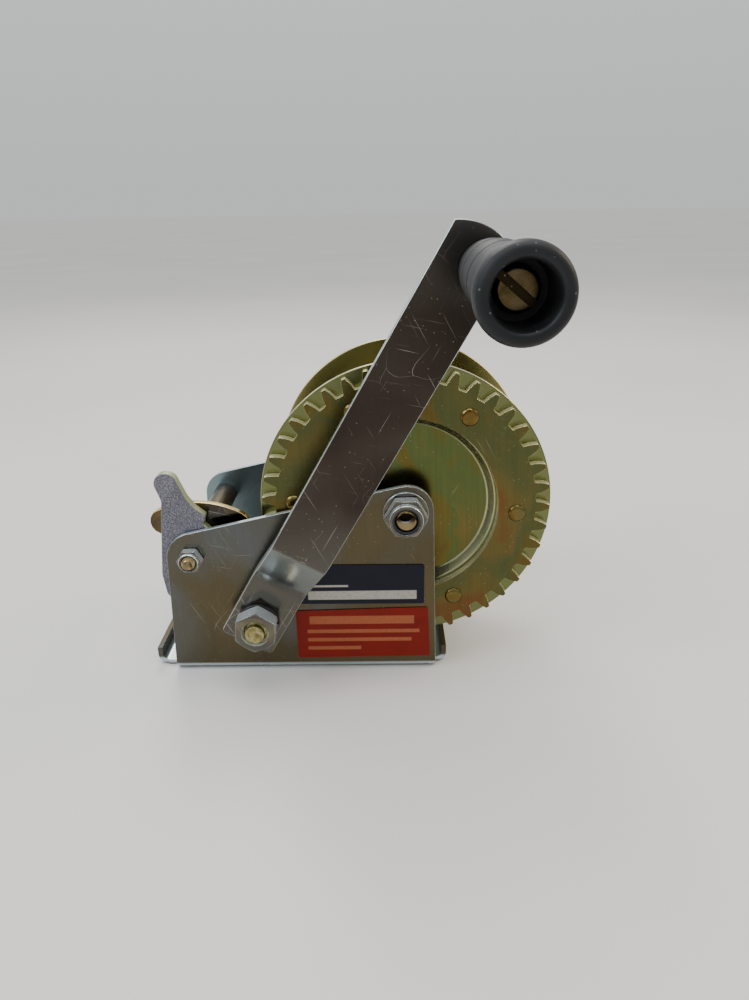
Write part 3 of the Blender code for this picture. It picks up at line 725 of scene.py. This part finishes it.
def add_ring(name, node, bore, material, body, rounding=0.25 * MM, steps=64):
    """A washer, sleeve or spacer, with rounded rims, in the place of its CAD node."""
    low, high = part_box(node)
    axis = box_axis(low, high)
    radius = (high.x - low.x) / 2
    bm = bmesh.new()
    turn(bm, axis, [
        (low.y, bore, rounding / 2), (low.y, radius, rounding),
        (high.y, radius, rounding), (high.y, bore, rounding / 2),
    ], steps=steps)
    finish_piece(name, bm, material, body, [node], rounding=0)


def add_lock_nut(name, node, axis, thread, half_flats, material):
    """A lock nut that faces -Y: chamfered hexagon, then a collar rolled over its ring."""
    low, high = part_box(node)
    ring_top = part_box(node + "_nylon_ring")[1]
    collar_start = ring_top.y + 0.3 * MM
    collar = half_flats * 0.90
    recess = collar - 0.7 * MM
    lip = thread + 0.9 * MM
    bm = bmesh.new()
    turn(bm, axis, [
        (high.y, thread + 0.3 * MM, 0), *hex_blank(high.y, collar_start, half_flats),
        (collar_start, collar, 0), (low.y, collar, 0.6 * MM), (low.y, lip, 0.3 * MM),
        (low.y + 0.5 * MM, recess, 0.1 * MM), (collar_start, recess, 0),
        (collar_start, thread + 0.3 * MM, 0),
    ])
    cut_hexagon(bm, axis, half_flats, collar_start, high.y)
    finish_piece(name, bm, material, "frame", [node], 0.12 * MM)
    add_ring(name + "_nylon", node + "_nylon_ring", thread + 0.15 * MM, nylon, "frame",
             0.3 * MM)


nylon, tree, shader = new_material("dark_nylon")
nylon_tints = [(0.3, (0.012, 0.014, 0.022)), (0.7, (0.03, 0.035, 0.06))]
fill_sockets(tree, shader, {
    "Base Color": colour_ramp(tree, plain_noise(tree, 700.0), nylon_tints),
    "Roughness": map_range(tree, plain_noise(tree, 500.0), 0.3, 0.7, 0.38, 0.55),
})

PLATE_BOLT = 5.0 * MM
drum_head_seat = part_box("drum_washer_far")[1].y + 0.3 * MM
add_bolt("drum_bolt_m10", "drum_bolt", drum_axis, PLATE_BOLT, 1.5 * MM, 8.5 * MM,
         drum_head_seat, 14 * MM)
add_lock_nut("drum_lock_nut", "drum_nut", drum_axis, PLATE_BOLT, 8.2 * MM, bright_zinc)
drum_bolt_bore = 5.3 * MM
for side in ("near", "far"):
    add_ring(f"drum_bolt_washer_{side}", f"drum_washer_{side}", drum_bolt_bore, bright_zinc,
             "frame")
add_ring("drum_bolt_sleeve", "drum_sleeve", drum_bolt_bore, frame_steel, "frame")

# ---------------------------------------------------------------- shaft bushes
# Flanged steel bushes, pressed into the side plates from outside; the crank shaft turns in them.
clear_of_plate = 42.3 * MM
for side, node in ((-1, "shaft_bush_near"), (1, "shaft_bush_far")):
    low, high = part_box(node)
    outer = max(abs(low.y), abs(high.y))
    inner = min(abs(low.y), abs(high.y))
    bm = bmesh.new()
    turn(bm, crank_axis, [
        (side * inner, 6.3 * MM, 0), (side * inner, 8.5 * MM, 0.2 * MM),
        (side * clear_of_plate, 8.5 * MM, 0), (side * clear_of_plate, 10.5 * MM, 0.1 * MM),
        (side * outer, 10.5 * MM, 0.4 * MM), (side * outer, 6.3 * MM, 0.2 * MM),
    ])
    finish_piece(node + "_turned", bm, bright_zinc, "frame", [node], rounding=0)

# ---------------------------------------------------------------- pawl bolt
# A long M6 bolt on which the pawl rocks; a tube on it spaces the plates, a lock nut closes it.
PAWL_BOLT = 3.0 * MM
add_bolt("pawl_bolt_m6", "pawl_bolt", pawl_axis, PAWL_BOLT, 1.0 * MM, 5.0 * MM,
         clear_of_plate, 12 * MM)
add_lock_nut("pawl_lock_nut", "pawl_nut", pawl_axis, PAWL_BOLT, 5.0 * MM, bright_zinc)
add_ring("pawl_spacer_tube", "pawl_spacer", 3.3 * MM, frame_steel, "frame", 0.4 * MM)

# ---------------------------------------------------------------- drum
# Two pressed flanges on a tube hub, with the ring gear riveted to the near one.  All of it is
# plated with yellow chromate, which varies from olive to gold with green and rose patches.
gear_steel = plated_steel(
    "yellow_chromate",
    [(0.0, (0.070, 0.043, 0.010)), (0.30, (0.105, 0.075, 0.013)), (0.55, (0.070, 0.078, 0.024)),
     (0.78, (0.115, 0.088, 0.022)), (1.0, (0.130, 0.062, 0.016))],
    roughness=0.25, clouds=20.0, grain=0.4, scratches=0.22, spread=0.42, specks=0.3,
    # The edge layer paints highlights on the tooth walls.
    worn=(0.70, 0.66, 0.45), layers=[(edge_highlight_group, {}, (0.95, 0.90, 0.55))], metal=0.75,
)
# Painted reflection: a ring behind the gear's tooth gaps, from 57.6 to 64.5 mm out.
gear_root_sheen = {"Inner": 57.6 * MM, "Outer": 64.5 * MM, "Step": 0.8 * MM}
# Painted highlight: a ring on the dish wall, 37.2 to 40.2 mm from the axis.
dish_wall_highlight = {"Inner": 37.2 * MM, "Outer": 40.2 * MM, "Step": 0.5 * MM}
flange_steel = plated_steel(
    "flange_chromate",
    [(0.0, (0.085, 0.063, 0.018)), (0.35, (0.12, 0.096, 0.025)), (0.6, (0.085, 0.11, 0.036)),
     (1.0, (0.15, 0.11, 0.036))],
    roughness=0.25, clouds=24.0, grain=0.4, scratches=0.22, spread=0.42, specks=0.3,
    worn=(0.70, 0.66, 0.45),
    layers=[
        # Painted reflection: a lighter, greener ring behind the tooth gaps.
        (ring_group, gear_root_sheen, (0.15, 0.165, 0.068)),
        # Painted highlight on the flanges' dish wall.
        (ring_group, dish_wall_highlight, (0.34, 0.36, 0.19)),
        # Painted light: the far flange, beyond y = 20 mm, is lighter and more golden, as if lit.
        (side_group, {"Side": -1, "Plane": -20 * MM}, (0.36, 0.32, 0.115)),
        # Painted highlight on the flanges' edges.
        (edge_highlight_group, {}, (0.66, 0.62, 0.38)),
    ],
)
flange_sheet = 2.0 * MM
wall_outer = 40.6 * MM
wall_inner = 37.0 * MM
for name, node, inward in (
    ("near_flange", "drum_flange_near", 1), ("far_flange", "drum_flange_far", -1),
):
    low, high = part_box(node)
    radius = (high.x - low.x) / 2
    rim = low.y if inward > 0 else high.y
    middle_y = (high.y if inward > 0 else low.y) - inward * flange_sheet
    bm = bmesh.new()
    turn(bm, drum_axis, [
        (middle_y, 8.0 * MM, 0.2 * MM), (middle_y, wall_inner, 1.2 * MM),
        (rim, wall_outer, 1.0 * MM), (rim, radius, 0.5 * MM),
        (rim + inward * flange_sheet, radius, 0.5 * MM),
        (rim + inward * flange_sheet, wall_outer + MM, 1.4 * MM),
        (middle_y + inward * flange_sheet, wall_inner + MM, 0.8 * MM),
        (middle_y + inward * flange_sheet, 8.0 * MM, 0.2 * MM),
    ], steps=160)
    finish_piece(name, bm, flange_steel, "drum", [node], rounding=0)
add_ring("hub_tube", "drum_hub", 8.0 * MM, gear_steel, "drum", 0.4 * MM, 96)


def cad_copy(node):
    """A CAD node's mesh, merged, with its flat faces whole again."""
    bm = bmesh.new()
    bm.from_mesh(frame["nodes"][node].data)
    bmesh.ops.remove_doubles(bm, verts=bm.verts[:], dist=2.5 * MERGE)
    bmesh.ops.dissolve_limit(
        bm, angle_limit=math.radians(0.5), verts=bm.verts[:], edges=bm.edges[:],
    )
    return bm


def round_roots(bm, axis, limit, offset):
    """Round the corners at the foot of a gear's teeth."""
    roots = []
    for edge in bm.edges:
        first, second = (
            Vector((vert.co.x - axis[0], vert.co.z - axis[1])) for vert in edge.verts
        )
        along_y = abs(edge.verts[0].co.y - edge.verts[1].co.y) > 2 * MM
        if along_y and limit[0] < first.length < limit[1] and (first - second).length < 0.01 * MM:
            roots.append(edge)
    round_corners(bm, roots, offset, 4, "EDGES")


def add_gear(name, node, teeth, axis, body, root_rounding, rounding):
    """A spur gear, its teeth rounded at the root and over the tip."""
    root = 3.0 * MM * (teeth / 2 - 1.25)
    bm = cad_copy(node)
    round_roots(bm, axis, (root - 0.1 * MM, root + 0.1 * MM), root_rounding)
    finish_piece(name, bm, gear_steel, body, [node], rounding)


add_gear("toothed_ring", "ring_gear", 41, drum_axis, "drum", 1.7 * MM, 0.45 * MM)

rivet_steel = plated_steel(
    "rivet_chromate",
    [(0.0, (0.12, 0.075, 0.020)), (0.5, (0.15, 0.105, 0.030)), (1.0, (0.12, 0.11, 0.040))],
    roughness=0.20, clouds=120.0, specks=0.4, worn=(0.85, 0.75, 0.50),
)
for number in range(1, 7):
    node = f"gear_rivet_{number}"
    low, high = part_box(node)
    bm = bmesh.new()
    turn(bm, box_axis(low, high), [
        (low.y, 0, 0), (low.y, 3.0 * MM, 0.6 * MM), (low.y + 0.9 * MM, 3.9 * MM, 0.2 * MM),
        (low.y + 1.0 * MM, 3.9 * MM, 0), (low.y + 1.0 * MM, 2.5 * MM, 0),
        (high.y - 0.9 * MM, 2.5 * MM, 0), (high.y - 0.9 * MM, 3.9 * MM, 0.2 * MM),
        (high.y, 3.2 * MM, 0.4 * MM), (high.y, 0, 0),
    ], closed=False, steps=40)
    finish_piece(f"rivet_{number}", bm, rivet_steel, "drum", [node], rounding=0)

# ---------------------------------------------------------------- strap bolt
# An M8 bolt through both flanges, on which the strap's sewn eye would hang; plain nut inside.
low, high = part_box("strap_bolt")
nut_low, nut_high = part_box("strap_bolt_nut")
strap_axis = box_axis(nut_low, nut_high)
STRAP_BOLT = 4.0 * MM
strap_flats = 6.5 * MM
head_seat = low.y + 5.0 * MM
bm = bmesh.new()
turn(bm, strap_axis, [
    (head_seat, 0, 0), (head_seat, strap_flats * 2 / math.sqrt(3), 0),
    *hex_blank(head_seat, low.y, strap_flats, both_ends=False)[1:], (low.y, 0, 0),
], closed=False)
cut_hexagon(bm, strap_axis, strap_flats, low.y - MM, head_seat + MM)
shank = bmesh.new()
thread_start = nut_low.y - 4 * MM
turn(shank, strap_axis, [(head_seat, 0, 0), (head_seat, STRAP_BOLT, 0),
                         (thread_start, STRAP_BOLT, 0), (thread_start, 0, 0)], closed=False)
thread = bmesh.new()
screw_thread(thread, strap_axis, STRAP_BOLT, 1.25 * MM, thread_start, high.y, 0.8 * MM)
join_bmesh(bm, shank)
join_bmesh(bm, thread)
finish_piece("strap_bolt_m8", bm, bright_zinc, "drum", ["strap_bolt"], 0.12 * MM)


def add_plain_nut(name, node, axis, bore, half_flats, mouth, material, body, turned=0):
    """A plain hexagon nut, chamfered on both faces, with a countersunk mouth at each."""
    low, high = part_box(node)
    sink = 1.8 * (mouth - bore)
    bm = bmesh.new()
    turn(bm, axis, [
        (low.y + sink, bore, 0), (low.y, mouth, 0.1 * MM), *hex_blank(low.y, high.y, half_flats),
        (high.y, mouth, 0.1 * MM), (high.y - sink, bore, 0),
    ])
    cut_hexagon(bm, axis, half_flats, low.y - MM, high.y + MM, turned)
    finish_piece(name, bm, material, body, [node], 0.14 * MM)


add_plain_nut("strap_nut_m8", "strap_bolt_nut", strap_axis, 4.2 * MM, strap_flats, 4.8 * MM,
              bright_zinc, "drum")

# ---------------------------------------------------------------- crank shaft
# A turned 12 mm shaft in the two bushes, held by a clip at the far end.  The pinion and a long
# spacer sit between the plates; a collar, the arm, a lock washer and an M10 nut outside.
low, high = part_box("crank_shaft")
shoulder = -49.7 * MM
groove = (44.0 * MM, 45.5 * MM)
shaft_radius = 6.0 * MM
shaft_steel = plated_steel(
    "olive_thread",
    [(0.0, (0.15, 0.13, 0.045)), (0.5, (0.27, 0.24, 0.10)), (1.0, (0.42, 0.38, 0.20))],
    roughness=0.36, clouds=420.0, specks=0.8, worn=(0.50, 0.48, 0.30),
)
bm = bmesh.new()
turn(bm, crank_axis, [
    (shoulder, 0, 0), (shoulder, shaft_radius, 0.3 * MM), (groove[0], shaft_radius, 0),
    (groove[0], shaft_radius - 0.6 * MM, 0), (groove[1], shaft_radius - 0.6 * MM, 0),
    (groove[1], shaft_radius, 0), (high.y, shaft_radius, 0.7 * MM), (high.y, 0, 0),
], closed=False)
thread = bmesh.new()
thread_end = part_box("crank_nut")[0].y + 1.5 * MM
screw_thread(thread, crank_axis, PLATE_BOLT, 1.5 * MM, shoulder + 0.5 * MM, thread_end, 0.6 * MM)
pilot = bmesh.new()
turn(pilot, crank_axis, [
    (thread_end + MM, 0, 0), (thread_end + MM, 4.15 * MM, 0), (low.y, 4.15 * MM, 0.35 * MM),
    (low.y, 0, 0),
], closed=False)
join_bmesh(bm, thread)
join_bmesh(bm, pilot)
finish_piece("crank_axle", bm, shaft_steel, "crank", ["crank_shaft"], 0.12 * MM)
for name, node, material, slot in (
    ("crank_shaft_spacer", "shaft_spacer", frame_steel, "clear_zinc"),
    ("crank_arm_collar", "crank_collar", bright_zinc, "bright_zinc"),
):
    add_ring(name, node, shaft_radius + 0.3 * MM, material, "crank", 0.4 * MM)
add_plain_nut("crank_nut_m10", "crank_nut", crank_axis, 5.2 * MM, 8.6 * MM, 6.1 * MM,
              bright_zinc, "crank", turned=25)

dark_steel = plated_steel(
    "dark_spring_steel",
    [(0.0, (0.07, 0.07, 0.075)), (0.5, (0.12, 0.12, 0.12)), (1.0, (0.17, 0.16, 0.15))],
    roughness=0.32, clouds=120.0, scratches=0.4, specks=0.3,
)


def add_open_ring(name, node, bore, opening, material):
    """A sprung ring with a gap in it, such as a clip or a split washer."""
    low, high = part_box(node)
    radius = (high.x - low.x) / 2
    bm = bmesh.new()
    section = [(low.y, bore), (low.y, radius), (high.y, radius), (high.y, bore)]
    corners = [bm.verts.new((crank_axis[0] + out, y, crank_axis[1])) for y, out in section]
    face = bm.faces.new(corners)
    middle = (crank_axis[0], 0, crank_axis[1])
    half_gap = math.radians(opening / 2)
    bmesh.ops.rotate(
        bm, verts=bm.verts[:], cent=middle, matrix=Matrix.Rotation(half_gap, 3, "Y"),
    )
    bmesh.ops.spin(
        bm, geom=corners + face.edges[:] + [face], cent=middle, axis=(0, 1, 0),
        angle=2 * math.pi - 2 * half_gap, steps=48,
    )
    finish_piece(name, bm, material, "crank", [node], 0.15 * MM)


add_open_ring("crank_split_washer", "crank_lock_washer", 5.3 * MM, 6, dark_steel)
add_open_ring("shaft_retaining_clip", "shaft_clip", 5.7 * MM, 70, dark_steel)

add_gear("pinion_gear", "pinion", 13, crank_axis, "crank", 0.5 * MM, 0.3 * MM)

# ---------------------------------------------------------------- crank arm
# A 25 x 5 mm bar, sheared square at the foot and to a shallow arc at the top, and stepped out
# by two bends.  Its plating is dark, and scratched all over by use.
arm_angle = math.radians(60)
arm_half = 12.5 * MM
arm_shift = -0.2 * MM
arm_thick = 5.0 * MM
arm_foot = 13.0 * MM
inner_y = -52.5 * MM
outer_y = -67.5 * MM
first_bend = (22.0 * MM, 15.0 * MM)
second_bend = (44.5 * MM, 8.0 * MM)
bend_angle = math.atan2(inner_y - outer_y, second_bend[0] - first_bend[0])
end_radius = 22.5 * MM
end_centre = 167.5 * MM

bm = bmesh.new()
across = 16
row = []
for number in range(across + 1):
    z = arm_shift - arm_half + 2 * arm_half * number / across
    row.append(bm.verts.new((-arm_foot, inner_y, z)))
row = [bm.edges.new(pair) for pair in zip(row, row[1:])]


def run_to(bm, row, vec):
    """Draw a row of edges along a straight, and return its new end."""
    grown = bmesh.ops.extrude_edge_only(bm, edges=row)
    bmesh.ops.translate(bm, vec=vec, verts=only(bmesh.types.BMVert, grown["geom"]))
    return only(bmesh.types.BMEdge, grown["geom"])


def row_place(row):
    return row[0].verts[0].co.copy()


for station, radius, sign in ((*first_bend, -1), (*second_bend, 1)):
    level = inner_y if sign < 0 else outer_y
    start = row_place(row)
    tangent = radius * math.tan(bend_angle / 2)
    corner = Vector((station, level, start.z))
    heading = (corner - start).normalized()
    run = heading * ((corner - start).length - tangent)
    row = run_to(bm, row, run)
    side = Vector((heading.y, -heading.x, 0)) * -sign
    centre = row_place(row) + side * radius
    swept = bmesh.ops.spin(
        bm, geom=verts_of(row) + row, cent=centre, axis=(0, 0, 1), angle=sign * bend_angle,
        steps=8,
    )
    row = only(bmesh.types.BMEdge, swept["geom_last"])
start = row_place(row)
row = run_to(bm, row, (end_centre - start.x, 0, 0))
for vert in verts_of(row):
    vert.co.x += math.sqrt(end_radius ** 2 - (vert.co.z - arm_shift) ** 2)
feet = [vert for vert in bm.verts if vert.co.x < -arm_foot + 0.01 * MM]
feet = [vert for vert in feet if len(vert.link_faces) == 1]
round_corners(bm, feet, 1.5 * MM, 4)
arm_turn = Matrix.Rotation(-arm_angle, 3, "Y")
bmesh.ops.rotate(bm, verts=bm.verts[:], cent=(0, 0, 0), matrix=arm_turn)
bmesh.ops.translate(bm, verts=bm.verts[:], vec=(crank_axis[0], 0, crank_axis[1]))

arm_steel = plated_steel(
    "scratched_arm",
    [(0.0, (0.026, 0.020, 0.016)), (0.5, (0.040, 0.030, 0.023)), (1.0, (0.055, 0.046, 0.037))],
    roughness=0.20, clouds=18.0, grain=0.2, scratches=0.55, spread=0.60, specks=0.40,
    worn=(0.50, 0.47, 0.42), metal=0.9,
    layers=[
        # Painted reflection: the arm lighter and browner up to about 66 mm, fading out by 96 mm.
        (band_group, {"Low": 0, "High": 66 * MM, "Step": 30 * MM}, (0.088, 0.082, 0.068)),
        # Painted reflection: the arm's top end lighter and greyer, from about 170 mm up.
        (band_group, {"Low": 0.215, "High": 0.30, "Step": 45 * MM}, (0.10, 0.095, 0.086)),
        # Painted highlight on the arm's edges.
        (edge_highlight_group, {}, (0.72, 0.80, 0.78)),
    ],
)
arm = finish_piece("crank_bar", bm, arm_steel, "crank", ["crank_arm"], rounding=0)
arm.modifiers.clear()
solidify = arm.modifiers.new("thickness", "SOLIDIFY")
solidify.thickness = arm_thick
solidify.offset = 0
solidify.use_even_offset = True
round_edges(arm, 0.7 * MM)

# ---------------------------------------------------------------- grip screw
# A yellow plated shoulder screw with a slotted head, deep in the grip's open end; it holds the
# grip to the arm with a washer and a nut behind.
low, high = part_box("grip_screw")
head_seat = low.y + 3.6 * MM
SMALL_BOLT = 4.0 * MM
gold_tints = [(0.0, (0.065, 0.045, 0.016)), (0.5, (0.10, 0.072, 0.032)), (1.0, (0.13, 0.10, 0.055))]
screw_brass = plated_steel(
    "gold_chromate", gold_tints, roughness=0.30, clouds=160.0, scratches=0.4, specks=0.3,
    worn=(0.85, 0.78, 0.55),
)
slot_shade_brass = plated_steel(
    "slotted_gold_chromate", gold_tints, roughness=0.26, clouds=160.0, specks=0.3,
    # Painted shade: all that lies more than 1.2 mm behind the head's face, the slot's depths among
    # it, is near black.
    layers=[(side_group, {"Side": -1, "Plane": -low.y - 1.2 * MM}, (0.022, 0.016, 0.008))],
)
bm = bmesh.new()
turn(bm, grip_axis, [
    (low.y, 0, 0), (low.y, 6.2 * MM, 0.9 * MM), (head_seat - 0.6 * MM, 6.8 * MM, 0.3 * MM),
    (head_seat, 6.8 * MM, 0), (head_seat, SMALL_BOLT, 0), (high.y - 10 * MM, SMALL_BOLT, 0),
    (high.y - 10 * MM, 0, 0),
], closed=False)
screw = finish_piece(
    "slotted_grip_screw", bm, slot_shade_brass, "crank", ["grip_screw"], rounding=0,
)
screw.modifiers.clear()
slot_bm = bmesh.new()
bmesh.ops.create_cube(slot_bm, size=1)
bmesh.ops.scale(slot_bm, vec=(20 * MM, 4.0 * MM, 2.6 * MM), verts=slot_bm.verts[:])
slot_turn = Matrix.Rotation(math.radians(40), 4, "Y")
slot_place = Matrix.Translation((grip_axis[0], low.y, grip_axis[1])) @ slot_turn
bmesh.ops.transform(slot_bm, matrix=slot_place, verts=slot_bm.verts[:])
cut_away(screw, slot_bm)
thread = bmesh.new()
screw_thread(thread, grip_axis, SMALL_BOLT, 1.25 * MM, high.y - 11 * MM, high.y, 0.8 * MM)
thread.from_mesh(screw.data)
thread.to_mesh(screw.data)
thread.free()
screw.data.shade_smooth()
screw.data.set_sharp_from_angle(angle=SHARP_FROM)
round_edges(screw, 0.15 * MM)
add_ring("grip_end_washer", "grip_washer", 4.3 * MM, screw_brass, "crank")
add_plain_nut("grip_nut_m8", "grip_nut", grip_axis, 4.2 * MM, 6.5 * MM, 4.8 * MM,
              screw_brass, "crank")

# ---------------------------------------------------------------- grip
# Moulded charcoal rubber, a little narrower towards the arm, with three thin grooves round it
# and a thick rolled rim round its open end.
low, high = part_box("grip")
free_end = low.y
arm_end = high.y
counterbore = free_end + 18.0 * MM
rubber, tree, shader = new_material("charcoal_rubber")
dust = use_group(tree, cloud_group, Scale=70.0)
shade = colour_ramp(tree, dust, [
    (0.0, (0.006, 0.007, 0.008)), (0.6, (0.010, 0.011, 0.0125)), (1.0, (0.018, 0.019, 0.021)),
])
specks = multiply(tree, use_group(tree, speck_group, Scale=650.0, Share=0.05), 0.35)
shade = blend_colour(tree, specks, shade, (0.25, 0.25, 0.24, 1))
fill_sockets(tree, shader, {
    "Base Color": shade, "Roughness": map_range(tree, dust, 0, 1, 0.42, 0.58),
    "Specular IOR Level": 0.28, "Normal": bumpy(tree, plain_noise(tree, 2600.0), 0.06 * MM, 0.5),
})

grooves = []
groove_half = 0.65 * MM
for distance, radius in ((9 * MM, 11.1 * MM), (25 * MM, 11.8 * MM), (41 * MM, 11.9 * MM)):
    y = arm_end - distance
    grooves += [
        (y + groove_half, radius, 0.25 * MM), (y + 0.5 * groove_half, radius - 0.9 * MM, 0.1 * MM),
        (y - 0.5 * groove_half, radius - 0.9 * MM, 0.1 * MM), (y - groove_half, radius, 0.25 * MM),
    ]
bm = bmesh.new()
turn(bm, grip_axis, [
    (arm_end, 4.5 * MM, 0), (arm_end, 10.4 * MM, 0.6 * MM), *grooves,
    (free_end + 11.0 * MM, 12.0 * MM, 0.6 * MM), (free_end + 10.0 * MM, 13.2 * MM, 0.6 * MM),
    (free_end + 6.0 * MM, 13.75 * MM, 1.2 * MM),
    (free_end + 2.6 * MM, 13.8 * MM, 1.4 * MM), (free_end, 12.6 * MM, 1.3 * MM),
    (free_end, 9.9 * MM, 0.8 * MM), (free_end + 1.5 * MM, 9.1 * MM, 0.6 * MM),
    (counterbore, 9.0 * MM, 0.3 * MM), (counterbore, 4.5 * MM, 0),
], steps=96)
finish_piece("moulded_grip", bm, rubber, "grip", ["grip"], rounding=0)

# ---------------------------------------------------------------- pawl
# The lever is pressed from metal powder, so its face is matte and grainy.  A bowed thumb plate
# is fixed behind it, and a torsion spring on the same bolt returns both.
pawl_metal, tree, shader = new_material("pressed_powder_metal")
grain = plain_noise(tree, 1500.0, 4.0)
patch = use_group(tree, cloud_group, Scale=90.0)
shade = colour_ramp(tree, grain, [
    (0.32, (0.085, 0.082, 0.105)), (0.52, (0.17, 0.165, 0.195)), (0.72, (0.36, 0.35, 0.39)),
])
patch = map_range(tree, patch, 0, 1, 0.75, 1.1)
shade = vector_maths(tree, "SCALE", {0: shade, "Scale": patch})[0]
sparkle = multiply(tree, use_group(tree, speck_group, Scale=1300.0, Share=0.25), 0.6)
shade = blend_colour(tree, sparkle, shade, (0.60, 0.60, 0.66, 1))
# Painted highlight, greenish, on the lever's edges.
shade = blend_colour(tree, use_group(tree, edge_highlight_group), shade, (0.36, 0.40, 0.24, 1))
fill_sockets(tree, shader, {
    "Base Color": shade, "Roughness": map_range(tree, grain, 0.3, 0.7, 0.62, 0.45),
    "Metallic": 0.75, "Normal": bumpy(tree, grain, 0.18 * MM, 0.8),
})

finish_piece(
    "pawl_pressing", cad_copy("pawl_lever"), pawl_metal, "pawl", ["pawl_lever"],
    0.55 * MM,
)
thumb_steel = plated_steel(
    "dark_chromate",
    [(0.0, (0.035, 0.032, 0.030)), (0.5, (0.055, 0.048, 0.040)), (1.0, (0.13, 0.085, 0.035))],
    roughness=0.15, clouds=30.0, scratches=0.2, specks=0.3,
    # Painted highlight, golden, on the thumb plate's edges.
    layers=[(edge_highlight_group, {}, (0.75, 0.60, 0.25))],
)
finish_piece(
    "pawl_thumb_press", cad_copy("pawl_thumb_plate"), thumb_steel, "pawl",
    ["pawl_thumb_plate"], 0.5 * MM,
)

low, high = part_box("pawl_spring")
wire = 0.85 * MM
coil_radius = (high.x - low.x) / 2 - wire
turns = 3
steps = 40
pitch = (high.y - low.y - 2 * wire) / turns
bm = bmesh.new()
bmesh.ops.create_circle(bm, cap_ends=True, segments=12, radius=wire)
start = Matrix.Translation((pawl_axis[0] + coil_radius, low.y + wire, pawl_axis[1]))
bmesh.ops.transform(bm, matrix=start, verts=bm.verts[:])
leg = bmesh.ops.extrude_face_region(bm, geom=bm.faces[:])
leg_tip = only(bmesh.types.BMVert, leg["geom"])
bmesh.ops.translate(bm, vec=(0, 0, 7 * MM), verts=leg_tip)
coil = [face for face in bm.faces if abs(face.calc_center_median().z - pawl_axis[1]) < 0.01 * MM]
bmesh.ops.spin(
    bm, geom=parts_of(coil), cent=(pawl_axis[0], 0, pawl_axis[1]), axis=(0, 1, 0),
    dvec=(0, pitch / steps, 0), angle=2 * math.pi * turns, steps=steps * turns,
)
discs = [face for face in bm.faces if len(face.verts) == 12]
inside = [disc for disc in discs if any(len(edge.link_faces) != 2 for edge in disc.edges)]
bmesh.ops.delete(bm, geom=inside, context="FACES_ONLY")
finish_piece("torsion_spring", bm, dark_steel, "pawl", ["pawl_spring"], rounding=0)

low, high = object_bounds()
